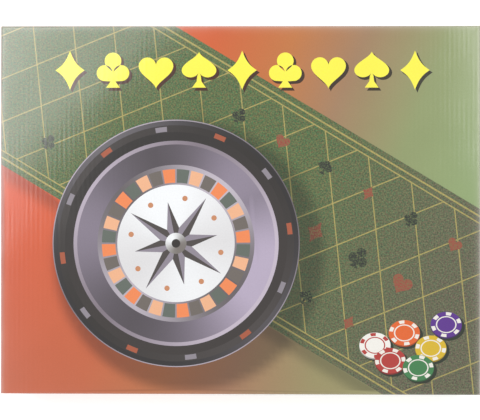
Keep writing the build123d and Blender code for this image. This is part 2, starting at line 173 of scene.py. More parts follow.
class Look(Tree):
    """A material. A point of its piece, in millimetres from a centre, is its place, and x, y and z."""

    def __init__(self, name, centre=(0, 0, 0)):
        super().__init__(bpy.data.materials.new(name))
        point = self("TexCoord", out="Object")
        self.place = self("Mapping", point, Location=[-c for c in centre], Scale=(1 / MM,) * 3)
        self.xyz = self.x, self.y, self.z = self("SeparateXYZ", self.place, out=("X", "Y", "Z"))

    def facing_up(self):
        """How far the surface faces up or down, from 0 on a wall to 1 on a level."""
        return abs(self("SeparateXYZ", self("TexCoord", out="Normal"), out="Z"))

    def peel(self, cycles, depth):
        """A noise of so many cycles a millimetre, and the normal of a surface that it marks so deep."""
        noise = self("TexNoise", self.place, Scale=cycles, Detail=2.0)
        return noise, self("Bump", Height=noise * depth, Distance=MM)

    def close(self, shader=None, **inputs):
        """Ends the material with a shader, or with a Principled one of these inputs, and gives it."""
        self("OutputMaterial", shader or self("BsdfPrincipled", **inputs))
        return self.owner


def seen(tree):
    """1 for the rays that show a surface itself, straight, mirrored or through a clear one, and 0 for the others."""
    camera, mirrored, passed = tree("LightPath", out=("Is Camera Ray", "Is Glossy Ray", "Is Transmission Ray"))
    return camera | mirrored | passed


# ---------------------------------------------------------------- surfaces
def put(name, data):
    """An object of this data, in the scene."""
    made = bpy.data.objects.new(name, data)
    bpy.context.scene.collection.objects.link(made)
    return made


def piece(
    name, points, faces, body, material, slot, replaced=(), smooth=True, colours=None, felt=None, sharp_rim=False
):
    """A mesh object from points in millimetres and its faces, riding on its body if it has one.

    replaced names the CAD nodes whose place it takes, and colours and felt are attributes of its faces' corners.
    """
    mesh = bpy.data.meshes.new(name)
    faces = faces.tolist() if isinstance(faces, np.ndarray) else faces
    mesh.from_pydata((np.asarray(points, float) * MM).tolist(), [], faces)
    mesh.polygons.foreach_set("use_smooth", np.full(len(mesh.polygons), smooth))
    if sharp_rim:  # an edge of a single face keeps its crease when a modifier gives the sheet its thickness
        edge_of = np.zeros(len(mesh.loops), int)
        mesh.loops.foreach_get("edge_index", edge_of)
        mesh.attributes.new("sharp_edge", "BOOLEAN", "EDGE").data.foreach_set("value", np.bincount(edge_of) == 1)
    for values, label, kind, key in ((colours, "ink", "FLOAT_COLOR", "color"), (felt, "felt", "FLOAT", "value")):
        if values is not None:
            made = mesh.attributes.new(label, kind, "CORNER")
            made.data.foreach_set(key, np.asarray(values, np.float32).ravel())
    mesh.update()
    made = put(name, mesh)
    mesh.materials.append(material)
    if body:
        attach(made, body)
    if replaced:
        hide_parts(*replaced)
    return made


def thicken(sheet, name, thickness, offset):
    """Gives a sheet its thickness in millimetres: below it where offset is -1, and about it where that is 0."""
    solid = sheet.modifiers.new(name, "SOLIDIFY")
    solid.thickness, solid.offset = thickness * MM, offset


def dress(looks):
    """Gives each CAD node its material."""
    for name, look in looks.items():
        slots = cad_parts[name].data.materials
        slots.clear()
        slots.append(look)


def quads(rows, columns, round_rows=False, round_columns=False):
    """The faces of a grid of points: point (i, j) is joined to (i+1, j), (i+1, j+1) and (i, j+1)."""
    i, j = np.meshgrid(np.arange(rows - (not round_rows)), np.arange(columns - (not round_columns)), indexing="ij")
    after_i, after_j = (i + 1) % rows, (j + 1) % columns
    corners = [i * columns + j, after_i * columns + j, after_i * columns + after_j, i * columns + after_j]
    return np.stack(corners, -1).reshape(-1, 4)


def turning(angle):
    """The matrix that turns rows of points about the upright axis."""
    c, s = np.cos(angle), np.sin(angle)
    return np.array([[c, s, 0], [-s, c, 0], [0, 0, 1]])


def rounded(corners, steps=6, closed=True):
    """A profile of (radius, height, cut) whose corners are cut by parabolas.

    Each corner B becomes (1-t)^2 A + 2t(1-t) B + t^2 C, where A and C lie on its two sides, a cut's length from B.
    """
    b, cuts = np.split(np.asarray(corners, float), [2], axis=1)
    before, after = np.roll(b, 1, 0) - b, np.roll(b, -1, 0) - b
    a, c = (
        b + side * np.minimum(cuts / np.linalg.norm(side, axis=1, keepdims=True), 0.49) for side in (before, after)
    )
    if not closed:
        a[0] = c[0] = b[0]
        a[-1] = c[-1] = b[-1]
    t = np.linspace(0, 1, steps)[None, :, None]
    path = ((1 - t) ** 2 * a[:, None] + 2 * t * (1 - t) * b[:, None] + t**2 * c[:, None]).reshape(-1, 2)
    gap = np.linalg.norm(path - np.roll(path, 1, 0), axis=1)
    gap[0] = max(gap[0], 0 if closed else 1)
    return path[gap > 1e-4]


def lathe(profile, centre, count, axis=None):
    """A closed turned solid: (r cos a, r sin a, z) for each (r, z) of a profile.

    The profile closes on itself, or starts and ends on the axis, with one point at each of those poles. Its faces
    point outwards for either sense of the profile, which is the sign of its area, the sum of r dz - z dr. axis is
    the level direction that the solid's height lies along, if it lies down: (x, y, z) turns to (z, y, -x).
    """
    profile = np.asarray(profile, float)
    r, z = profile.T
    if r @ np.roll(z, -1) < z @ np.roll(r, -1):
        profile = profile[::-1]
    poles = profile[0, 0] < 1e-6
    r, z = np.split(profile[1:-1] if poles else profile, 2, axis=1)
    angle = np.linspace(0, 2 * pi, count, endpoint=False)
    points = np.stack([r * np.cos(angle), r * np.sin(angle), z + 0 * angle], -1).reshape(-1, 3)
    faces = quads(len(r), count, round_rows=not poles, round_columns=True)[:, ::-1].tolist()
    if poles:
        ring, pole, end = np.arange(count), len(points), len(points) - count
        after = np.roll(ring, -1)
        points = np.vstack([points, [0, 0, profile[0, 1]], [0, 0, profile[-1, 1]]])
        faces += np.stack([0 * ring + pole, after, ring], -1).tolist()
        faces += np.stack([0 * ring + pole + 1, end + ring, end + after], -1).tolist()
    if axis is not None:
        points = np.stack([points[:, 2], points[:, 1], -points[:, 0]], -1) @ turning(axis)
    return points + np.asarray(centre, float), faces


def joined(parts):
    """Several (points, faces) as one."""
    starts = np.cumsum([0] + [len(points) for points, _ in parts])
    faces = [[int(start + k) for k in face] for start, (_, faces) in zip(starts, parts) for face in faces]
    return np.vstack([points for points, _ in parts]), faces


# ---------------------------------------------------------------- materials of the carton
def ground_ink(look):
    """The print's ground: orange red at the left, through brown, to olive green at the lower right."""
    case = bpy.context.scene.case_print
    hues = look("ValToRGB", look.x / 335 - look.y / 850 + 0.5, stops=(
        (0.0, case.ground_left), (0.3, case.ground_inner_left), (0.47, case.ground_upper),
        (0.62, case.ground_middle), (0.8, case.ground_inner_right), (1.0, case.ground_right),
    ))
    # The lower left is duskier: a straight fade, three and a half times as steep along y as along x.
    dusk = look("Clamp", look.y / -150 - look.x / 520 - 0.1)
    return look("Mix", dusk * 0.45, hues, case.ground_dusk)


def washboard(look, depth):
    """The board's flutes pressed through the liner: a cosine of their pitch, so many millimetres deep.

    A noise that is four times as long on the flutes as across them makes each deeper here and fainter there.
    """
    uneven = look("TexNoise", look("Mapping", look.place, Scale=(0.16, 0.04, 0.04)), Scale=1.0, Detail=1.0)
    turns = look.x * (2 * pi / bpy.context.scene.case_board.flute_pitch)
    return look("Math", turns, operation="COSINE") * (uneven * (2.4 * depth) - 0.7 * depth)


def rubbed(look, cloud):
    """How pale the carton's creased edges are: exp(-d / 1.8 mm) (0.12 + 0.5 cloud + 0.45 bend).

    The paleness is partly rubbed wear and partly a painted highlight on the rounded creases. d is the way to the
    nearest edge. On a face one of the distances to the carton's faces is nought, so the middle one of the three is d.
    The front edges lie 4 mm further off, so they stay darker. bend is 4 n (1 - n), with n how far the surface faces
    up: a painted highlight where the paper turns over an edge.
    """
    a = abs(look.x) - HALF_LENGTH
    b = (look.y - HALF_WIDTH) | (look.y * -1.0 - (HALF_WIDTH + 4.0))
    c = abs(look.z - TOP / 2) - TOP / 2
    d = (a & b) | ((a | b) & c)
    up = look.facing_up()
    return look("Math", d / 1.8, operation="EXPONENT") * (up * (1.0 - up) * (4 * 0.45) + cloud * 0.5 + 0.12)


def varnished_print(name):
    """Offset-printed paper laminated on E-flute board and varnished: a gloss film over a faint washboard."""
    look, case = Look(name), bpy.context.scene.case_print
    ink, cover = look("Attribute", out=("Color", "Alpha"), attribute_name="ink")
    colour = look("Mix", cover, ground_ink(look), ink)
    # The halftone and the paper's fibres, drawn coarser than their 0.1 mm so that they show.
    grain = look("TexNoise", look.place, Scale=0.9, Detail=2.0)
    mottle = look("TexNoise", look.place, Scale=0.03, Detail=3.0)
    # The band pictures felt, so it has coarse specks, which are fainter in the inks over it: there felt is 0.4.
    felt = look("Attribute", out="Fac", attribute_name="felt")
    speck, tones = look("TexNoise", look.place, Scale=0.9, Detail=1.0, out=("Fac", "Color"))
    value = (speck - 0.5) * felt * 2.0 + grain * 0.12 + mottle * 0.08 + 0.9
    hue = (look("SeparateColor", tones, out="Blue") - 0.5) * felt**3.0 * 0.5 + 0.5
    # Fibres show through those inks: felt (1 - felt) is nought on the bare felt and off it.
    fibres = look("Clamp", (speck - 0.47) * (felt * (1.0 - felt) * 18.0), Max=0.6)
    colour = look("Mix", fibres, colour, case.felt)
    colour = look("HueSaturation", Hue=hue, Value=value, Color=colour)
    # Pale creased edges: partly rubbed wear, partly a painted highlight on the creases.
    colour = look("Mix", rubbed(look, mottle), colour, case.rubbed)
    swell = look("TexNoise", look.place, Scale=0.014, Detail=1.0)
    bump = look("Bump", Height=swell * 0.5 + washboard(look, 0.007), Distance=MM)
    return look.close(Base_Color=colour, Roughness=mottle * 0.06 + case.gloss, Normal=bump, IOR=1.5)


def flute_section(look, along, across):
    """A cut edge of corrugated board: two liners and a sine of medium between them, with painted shade in the hollows.

    along runs on the edge, and across through the board, from 0 at one face to the board's thickness.
    """
    board, half = bpy.context.scene.case_board, BOARD / 2
    wave = look("Math", along * (2 * pi / board.flute_pitch), operation="SINE") * (half - board.liner)
    medium = abs(across - half - wave) < board.liner * 0.75
    liner = abs(across - half) > half - board.liner
    # The hollows between the liners and the medium take a painted shade.
    return look("Mix", medium | liner, board.hollow, board.cut)


def corrugated_board(name, outside=(), edge=None):
    """Kraft-lined E-flute board: matt brown paper with long fibres inside, the varnished ground outside.

    outside lists (axis, face, margin) of the printed faces, each with all that lies less than a margin behind it.
    edge takes the look and gives where the board is cut, the coordinate along the cut and the one through the board.
    """
    look, board, case = Look(name), bpy.context.scene.case_board, bpy.context.scene.case_print
    # Kraft fibres are 2 to 3 mm long, drawn as a noise stretched along the flutes.
    stretched = look("Mapping", look.place, Scale=(1.1, 0.25, 0.6))
    fibre = look("TexNoise", stretched, Scale=1.0, Detail=4.0, Roughness=0.7)
    cloud = look("TexNoise", look.place, Scale=0.02, Detail=2.0)
    shades = (0.35, board.kraft_dark), (0.55, board.kraft), (0.8, board.kraft_light)
    colour, rough = look("ValToRGB", cloud * 0.35 + fibre * 0.75, stops=shades), 0.85
    if edge:
        cut, along, across = edge(look)
        colour = look("Mix", cut, colour, flute_section(look, along, across))
    if outside:
        faces = [look.xyz[axis] * np.sign(face) > abs(face) - margin for axis, face, margin in outside]
        printed = reduce(Field.__or__, faces)
        ground = look("HueSaturation", Value=fibre * 0.12 + 0.94, Color=ground_ink(look))
        # Pale creased edges: partly rubbed wear, partly a painted highlight on the creases.
        ground = look("Mix", rubbed(look, cloud), ground, case.rubbed)
        colour = look("Mix", printed, colour, ground)
        rough = printed * (case.gloss - rough) + rough
    bump = look("Bump", Height=fibre * 0.02 + washboard(look, 0.03), Distance=MM)
    return look.close(Base_Color=colour, Roughness=rough, Normal=bump, IOR=1.5)


def level_edge(face, tabs):
    """The level cut edges of an upright panel with this outer face.

    tabs is True for a panel along X with tabs along Y, whose flutes stand, and False for a panel along Y, whose
    flutes lie along its edges.
    """

    def edge(look):
        cut = look.facing_up() > 0.9
        if not tabs:
            return cut, 0.0, abs(look.x - face)
        depth = abs(look.y - face)
        return cut, look.x + look.y, depth + (depth > BOARD + 0.01) * (abs(look.x) - TAB_FACE - depth)

    return edge


def window_edge(look):
    """The upright cut edges of the platform's windows."""
    upright, above = look.facing_up() < 0.3, look.z > DECK - BOARD - 0.02
    return upright & above & (abs(look.x) < DECK_END - 0.4), look.x, look.z - (DECK - BOARD)


# ---------------------------------------------------------------- materials of the set
def moulded_styrene(name, colour, rough=0.22, grain=0.004):
    """Injection-moulded styrene: an even colour, gloss, with the mould's faint orange peel and rubbed patches."""
    look = Look(name)
    _, bump = look.peel(0.8, grain)
    rub = look("TexNoise", look.place, Scale=0.05, Detail=5.0)
    tint = look("HueSaturation", Value=rub * 0.3 + 0.85, Color=colour)
    return look.close(Base_Color=tint, Roughness=rub * 0.22 + (rough - 0.09), Normal=bump, IOR=1.59)


def moulded_nylon(name, colour):
    """Natural nylon, moulded: off-white, waxy and half matt, for it lets a little light in."""
    look = Look(name)
    noise, bump = look.peel(0.8, 0.006)
    tint = look("HueSaturation", Value=noise * 0.2 + 0.9, Color=colour)
    light = {"Subsurface_Weight": 0.15, "Subsurface_Scale": 1.0 * MM}
    return look.close(Base_Color=tint, Roughness=noise * 0.15 + 0.4, Normal=bump, IOR=1.53, **light)


def screened_ink(name, colour):
    """Screened ink: a thick, opaque film with an even half gloss."""
    look = Look(name)
    noise = look("TexNoise", look.place, Scale=3.0, Detail=2.0)
    tint = look("HueSaturation", Value=noise * 0.2 + 0.9, Color=colour)
    return look.close(Base_Color=tint, Roughness=noise * 0.2 + 0.35, IOR=1.5)


def turning_marks(look, radius, cycles, depth, bump):
    """The rings that turning leaves: a noise of the radius, in cycles and depth of millimetres, over a bump."""
    rings = look("TexNoise", radius * cycles, Detail=3.0, noise_dimensions="1D")
    return look("Bump", Height=rings * depth, Distance=MM, Normal=bump)


def bright_metal(name, colour, rough, rings=0.0, centre=(0, 0, 0), peel=0.002):
    """A bright metal surface. Vacuum-metallised styrene keeps its moulding's peel, and turned steel has rings.

    rings is how deep those are, in millimetres, about an upright axis through centre.
    """
    look = Look(name, centre)
    noise, bump = look.peel(0.6, peel)
    if rings:
        bump = turning_marks(look, (look.x * look.x + look.y * look.y) ** 0.5, 2.5, rings, bump)
    return look.close(Base_Color=colour, Metallic=1.0, Roughness=noise * 0.12 + (rough - 0.05), Normal=bump)


def two_tone_rotor(name, centre, black, silver, inner, floor):
    """The rotor's moulding: gloss black styrene, vacuum-metallised above a floor and inside a radius, to its mask."""
    look = Look(name, centre)
    radius = (look.x * look.x + look.y * look.y) ** 0.5
    metal = (radius < inner) & (look.z > floor)
    noise, bump = look.peel(0.5, 0.003)
    bump = turning_marks(look, radius, 1.6, 0.006, bump)
    tint = look("Mix", metal, black, silver)
    return look.close(Base_Color=tint, Metallic=metal, Roughness=noise * 0.15 + 0.16, Normal=bump)


def printed_foil(name):
    """Screen-printed foil on the rotor: flat inks under a gloss film."""
    look = Look(name)
    noise, bump = look.peel(1.2, 0.003)
    ink = look("Attribute", out="Color", attribute_name="ink")
    tint = look("HueSaturation", Value=noise * 0.2 + 0.9, Color=ink)
    return look.close(Base_Color=tint, Roughness=noise * 0.1 + 0.25, Normal=bump)


def clear_styrene(name, tint):
    """Clear moulded styrene: water clear, with a soft mould texture. It lets the lamps' light through."""
    look = Look(name)
    noise, bump = look.peel(0.35, 0.006)
    clear = {"Base_Color": tint, "Roughness": noise * 0.06 + 0.02, "IOR": 1.49, "Transmission_Weight": 1.0}
    passed = look("BsdfTransparent", Color="#E6EDF0")
    in_shadow = look("LightPath", out="Is Shadow Ray")
    return look.close(look("MixShader", in_shadow, look("BsdfPrincipled", Normal=bump, **clear), passed))


def moulded_counters(name, start, thickness, colour):
    """Injection-moulded styrene counters in a roll: one even, gloss colour each, and a finely milled edge.

    start is the middle of the roll's first face. Batches of pigment differ a little, so each counter's lightness is
    drawn by chance. The milling has 60 ribs, which are 1 mm apart.
    """
    look = Look(name, start)
    which = look("Math", look.y / thickness, operation="FLOOR")
    chance = look("TexWhiteNoise", which, noise_dimensions="1D")
    noise, bump = look.peel(1.5, 0.006)
    ribs = look("Math", look("Math", look.z, look.x, operation="ARCTAN2") * 60.0, operation="COSINE")
    edge = (look.x * look.x + look.z * look.z) ** 0.5 > 9.2
    bump = look("Bump", Height=ribs * edge * 0.05, Distance=MM, Normal=bump)
    tint = look("HueSaturation", Value=chance * 0.16 + noise * 0.16 + 0.84, Color=colour)
    return look.close(Base_Color=tint, Roughness=noise * 0.15 + 0.26, Normal=bump, IOR=1.59)


def printed_felt(name, pitches=(31.0, 26.0), line=1.6):
    """Needled wool felt, screen printed: short fibres every way, a soft sheen, and a pale grid that sinks in.

    The grid's lines are so far apart along x and y, and this wide, in millimetres.
    """
    look, case = Look(name), bpy.context.scene.case_set
    coarse = look("TexNoise", look.place, Scale=1.3, Detail=6.0, Roughness=0.8)
    patch = look("TexNoise", look.place, Scale=0.03, Detail=2.0)
    wander = coarse * 0.6 - 0.3
    cells = [look("Math", (at + wander) / pitch, operation="FRACT") for at, pitch in zip(look.xyz, pitches)]
    lines = reduce(Field.__or__, [abs(cell - 0.5) < line / 2 / pitch for cell, pitch in zip(cells, pitches)])
    shades = (0.3, case.wool_dark), (0.55, case.wool), (0.8, case.wool_light)
    wool = look("ValToRGB", patch * 0.3 + coarse * 0.8, stops=shades)
    colour = look("Mix", lines * 0.85, wool, case.grid)
    bump = look("Bump", Height=coarse * 0.12, Distance=MM)
    return look.close(Base_Color=colour, Roughness=0.95, Sheen_Weight=0.25, Normal=bump)


# ---------------------------------------------------------------- the lid's picture
def disc(count):
    """The outline of a circle of radius 1: (cos a, sin a)."""
    a = np.linspace(0, 2 * pi, count, endpoint=False)
    return np.stack([np.cos(a), np.sin(a)], -1)


def sector(inner, outer, start, end, steps=6):
    """A piece of a ring between two angles in radians."""
    a = np.linspace(start, end, steps)
    arc = np.stack([np.cos(a), np.sin(a)], -1)
    return np.vstack([arc * outer, arc[::-1] * inner])


def pip(kind):
    """The outline of a card pip, one unit tall.

    A heart is (16 sin^3 a, 13 cos a - 5 cos 2a - 2 cos 3a - cos 4a) / 32, a spade the same upside down with a
    flared stem, a club three circles and that stem, and a diamond four hollow arcs.
    """
    stem = np.array([(-0.07, -0.32), (-0.2, -0.5), (0.2, -0.5), (0.07, -0.32)])
    if kind == "diamond":
        t = np.linspace(0, 1, 8, endpoint=False)[:, None]
        corners = np.array([(0, 0.56), (0.42, 0), (0, -0.56), (-0.42, 0)])
        sides = zip(corners, np.roll(corners, -1, 0))
        return np.vstack([b * (1 - t) + c * t - 0.10 * np.sin(pi * t) * (b + c) for b, c in sides])
    if kind == "club":
        a = np.linspace(-0.72, 3.86, 22) - 0.9
        right = 0.23 * np.stack([np.cos(a), np.sin(a)], -1) + (0.24, -0.08)
        a = np.linspace(-0.75, pi + 0.75, 22)
        top = 0.24 * np.stack([np.cos(a), np.sin(a)], -1) + (0, 0.27)
        return np.vstack([right, top, right[::-1] * (-1, 1), stem])
    a = np.linspace(0, 2 * pi, 48, endpoint=False)
    lobes = 13 * np.cos(a) - 5 * np.cos(2 * a) - 2 * np.cos(3 * a) - np.cos(4 * a)
    heart = np.stack([16 * np.sin(a) ** 3, lobes], -1) / 32
    if kind == "heart":
        return heart
    body = np.roll(heart * (1, -0.82) + (0, 0.1), -24, 0)  # it starts at its cleft, which the stem fills
    body = np.roll(body, -np.argmin(np.abs(body[:, 0]) + np.abs(body[:, 1] + 0.03)), 0)[2:-1]
    foot = np.vstack([(-0.05, -0.16), stem, (0.05, -0.16)])
    return np.vstack([body, foot * (np.sign(body[0, 0]), 1)])


def sheen(dark, bright, centre, beams, low=0.0):
    """The ink of a polished ring, bright where the angle a faces a beam: by strength (0.5 + 0.5 cos(a - beam))^n.

    beams lists (beam, strength, n), and low is the least share of bright.
    """

    def ink(x, y):
        a = np.arctan2(y - centre[1], x - centre[0])
        share = np.max([strength * (0.5 + 0.5 * np.cos(a - beam)) ** n for beam, strength, n in beams], 0)
        share = np.clip(low + share, 0, 1)[:, None]
        return rgb(dark) * (1 - share) + rgb(bright) * share

    return ink


def picture(art):
    """The motifs of the lid's print, lowest first, as (outline, ink, cover), in millimetres from its middle."""
    motifs = []

    def add(ink, outline, at=(0, 0), size=1.0, cover=1.0):
        motifs.append((outline * size + at, ink, cover))

    # A lattice band of felt green from the upper left to the lower right.
    tilt = turning(np.radians(art.band_turn))[:2, :2]
    u, v = tilt
    middle, medal = np.array([art.band_x, art.band_y]), np.array([art.medal_x, art.medal_y])
    half, reach, pitch = art.band_width / 2, 330.0, art.lattice
    inner = half - 9  # the lattice fills the band between its borders

    def felt(x, y):
        """The band's green, which turns browner along it towards the lower right."""
        share = np.clip((x * u[0] + y * u[1] - 20) / 150, 0, 1)[:, None]
        return np.array(art.felt) * (1 - share) + np.array(art.felt_far) * share

    strips = (felt, -half, 2 * half), *(
        (art.line, low, width)
        for low, width in ((4 - half, 1.2), (half - 5.2, 1.2), (-inner - 0.45, 0.9), (inner - 0.45, 0.9))
    )
    for ink, low, width in strips:
        corners = (-reach, low), (reach, low), (reach, low + width), (-reach, low + width)
        add(ink, np.array([middle + u * a + v * b for a, b in corners]))
    for k in np.arange(-8, 9) * pitch:  # two families of slanted lines between the band's borders
        for lean in (-0.75 * inner, 0.75 * inner):
            a, b = middle + u * (k - lean) - v * inner, middle + u * (k + lean) + v * inner
            add(art.line, np.array([a - u / 2, a + u / 2, b + u / 2, b - u / 2]))
    kinds = cycle(("spade", "heart", "club", "diamond"))
    # Pips keep within these limits, and so far from the head row, the counters and the medallion's rim.
    limits, head_gap, counter_gap, medal_gap = (158, 120), 24, 20, 0.28 * pitch
    for k in range(-16, 17):
        for along, across, share in ((0.5, 0.0, 0.42), (0.0, 0.66, 0.3), (0.0, -0.66, 0.3)):
            spot, kind = middle + u * (k + along) * pitch + v * across * inner, next(kinds)
            clear = abs(np.hypot(*(spot - medal)) - art.medal_radius) > medal_gap
            clear &= min(np.hypot(*(spot - counter[:2])) for counter in LOOSE_COUNTERS) > counter_gap
            if clear and (abs(spot) < limits).all() and abs(spot[1] - art.head_y) > head_gap:
                red = kind in ("heart", "diamond")
                add(art.pip_red if red else art.pip_dark, pip(kind) @ tilt, spot, pitch * share)

    # The medallion: a dark turned rim, a polished lilac dish, a ring of blocks and a star.
    r = art.medal_radius
    rings = (  # radius, dark and bright ink, beams and the least share of bright
        (1.0, "#4A4346", "#B9AEBB", [(2.2, 1.0, 3), (-1.3, 0.8, 3)], 0.1),
        (0.992, "#1D1A19", "#6F6A70", [(2.2, 0.75, 9), (-0.7, 0.4, 14)], 0.06),
        (0.955, "#26221F", "#4A4443", [(-0.9, 0.8, 4), (2.4, 0.6, 5)], 0.05),
        (0.90, "#37312F", "#211E1D", [(2.0, 0.8, 2)], 0.0),
        (0.83, "#55494F", "#C3B7C6", [(-0.5, 1.0, 2), (2.6, 0.7, 4)], 0.15),
        (0.80, "#332E2D", "#B7AAC0", [(-0.35, 1.0, 5), (3.0, 0.35, 9), (0.75, 0.45, 12)], 0.1),
        (0.635, "#4B4544", "#C9C0CC", [(0.9, 0.8, 6), (-2.3, 0.7, 5)], 0.1),
    )
    for share, dark, bright, beams, low in rings:
        add(sheen(dark, bright, medal, beams, low), disc(MEDAL_POINTS), medal, r * share)
    for k in range(12):  # inlays of the rim
        a = 2 * pi * k / 12 + 0.13
        add("#8E8790" if k % 2 else "#A8573B", sector(0.905, 0.945, a - 0.05, a + 0.05), medal, r)
    blocks = 32
    for k in range(blocks):
        tone = ("#F08A55", "#6E6660", "#EFB48C", "#626A62")[k % 4]
        a, b = 2 * pi * k / blocks, 2 * pi * (k + 1) / blocks
        add(tone, sector(0.49, 0.60, a + 0.012, b - 0.012), medal, r)
    plate = sheen("#D9D7D8", "#F4F6F8", medal, [(1.8, 1.0, 3), (-1.2, 0.7, 5)], 0.1)
    add(plate, disc(96), medal, r * 0.475)
    ray = pi / 8  # half the angle from ray to ray
    for k in range(16):  # an eight-rayed star, each ray half light and half dark
        a, side = 2 * ray * (k // 2) + ray / 2, 1 if k % 2 else -1
        tip, foot = turning(a)[0, :2] * (0.44 if (k // 2) % 2 else 0.34), turning(a + side * ray)[0, :2] * 0.13
        add("#8F8793" if side > 0 else "#4A4442", np.array([(0, 0), tip, foot][::side]), medal, r)
    for k in range(8):  # a bead between each two rays
        add("#C98A63", disc(16), medal + turning(ray * (2 * k + 1.5))[0, :2] * r * 0.37, r * 0.022)
    add(sheen("#6E6660", "#F2F4F6", medal, [(2.3, 1.0, 2)], 0.05), disc(40), medal, r * 0.085)
    add("#2A2624", disc(24), medal, r * 0.035)

    # A row of pips across the head of the panel, each over its shadow.
    for k in range(art.head_count):
        kind = pip(("diamond", "club", "heart", "spade")[k % 4])
        x, y = (k - (art.head_count - 1) / 2) * art.head_step + 1.5, art.head_y
        add("#17110C", kind, (x + 1.7, y - 1.7), art.head_size * 1.04, 0.92)
        add(art.head, kind, (x, y), art.head_size)

    # Loose counters at the lower right, seen aslant: each over its shadow, with a side, six marks and a ring.
    aslant = np.array([1, 0.82])
    for x, y, tone, mark in LOOSE_COUNTERS:
        add(art.felt_shadow, disc(48) * aslant, (x + 1.6, y - 1.9), 11.8)
        add(rgb(tone) * 0.45, disc(48) * aslant, (x, y - 0.9), 11.2)
        add(tone, disc(48) * aslant, (x, y), 11.2)
        for a in pi / 3 * np.arange(6) + x:
            add(mark, sector(8.2, 10.9, a - 0.2, a + 0.2, 4) * aslant, (x, y))
        add(mark, disc(40) * aslant, (x, y), 7.4)
        add(tone, disc(40) * aslant, (x, y), 6.5)
    return motifs


def within(outline, places):
    """Which places lie inside an outline: a ray to the right of each crosses it an odd number of times."""
    inside = ((places > outline.min(0)) & (places < outline.max(0))).all(1)
    x, y = places[inside].T[:, :, None]
    (ax, ay), (bx, by) = outline.T, np.roll(outline, -1, 0).T
    at = ax + (y - ay) * (bx - ax) / np.where(by == ay, 1e-12, by - ay)
    inside[inside] = (((ay > y) != (by > y)) & (x < at)).sum(1) % 2 == 1
    return inside


def top_motif(motifs, places):
    """Which motif lies uppermost at each place: 1 for the lowest of them, and 0 for the bare ground."""
    owner = np.zeros(len(places), int)
    for k, (outline, *_) in enumerate(motifs, 1):
        owner[within(outline, places)] = k
    return owner


def ink_at(motifs, owner, x, y, art):
    """Each place's ink and cover, and how much it pictures felt: 1 on the band, and 0.4 in the inks over it.

    The medallion's shadow darkens what lies under it.
    """
    inks = np.zeros((len(x), 4))
    for k in np.unique(owner[owner > 0]):
        here, (_, ink, cover) = owner == k, motifs[k - 1]
        inks[here, :3] = ink(x[here], y[here]) if callable(ink) else linear(ink)[:3]
        inks[here, 3] = cover
    medal = 1 + [len(outline) for outline, *_ in motifs].index(MEDAL_POINTS)
    dark = np.where(owner < medal, shadow(x, y, art), 0)
    alpha = inks[:, 3]
    cover = alpha + (1 - alpha) * dark
    inks[:, :3] *= np.where(owner < medal, alpha * (1 - dark) / np.maximum(cover, 1e-6), 1)[:, None]
    inks[:, 3] = cover
    return inks, np.select([owner == 1, owner < medal], [1.0, 0.4 * (owner > 0)], 0.0)


def shadow(x, y, art):
    """How much the medallion's soft shadow, to its lower right, darkens the print beside it.

    It is even out to its edge and then fades: 1 - t^2 (3 - 2t), with t from 0 to 1 across the fade. The band's
    lower edge shades the ground below it in the same way.
    """

    def fade(distance):
        t = np.clip((distance - 3) / 11, 0, 1)
        return 1 - t**2 * (3 - 2 * t)

    rim = np.hypot(x - art.medal_x - 9, y - art.medal_y + 9) - art.medal_radius
    turn = np.radians(art.band_turn)
    below = (x - art.band_x) * np.sin(turn) - (y - art.band_y) * np.cos(turn) - art.band_width / 2
    return 1 - (1 - 0.52 * fade(rim)) * (1 - np.where(below > 0, 0.4 * fade(below), 0))


def roll(u, half, radius):
    """A flat distance folded over a creased edge: straight to the crease, then round an arc of the given radius."""
    straight = half - radius
    angle = np.clip((np.abs(u) - straight) / radius, 0, pi / 2)
    return np.sign(u) * (np.minimum(np.abs(u), straight) + radius * np.sin(angle)), radius * (1 - np.cos(angle))


# ---------------------------------------------------------------- property groups
def swatch(name, hex_colour, of=""):
    """A colour setting whose default is an sRGB hex value."""
    return FloatVectorProperty(
        name=name, description=f"sRGB hex {of}".strip(), default=rgb(hex_colour).tolist(), subtype="COLOR", size=3,
        min=0, max=1,
    )


def size(name, default, of=""):
    """A setting in millimetres."""
    return FloatProperty(name=name, description=f"{of} mm".strip(), default=default)


def lamp(name, watts):
    """A lamp's power."""
    return FloatProperty(name=name, description="Lamp power in watts", default=watts)


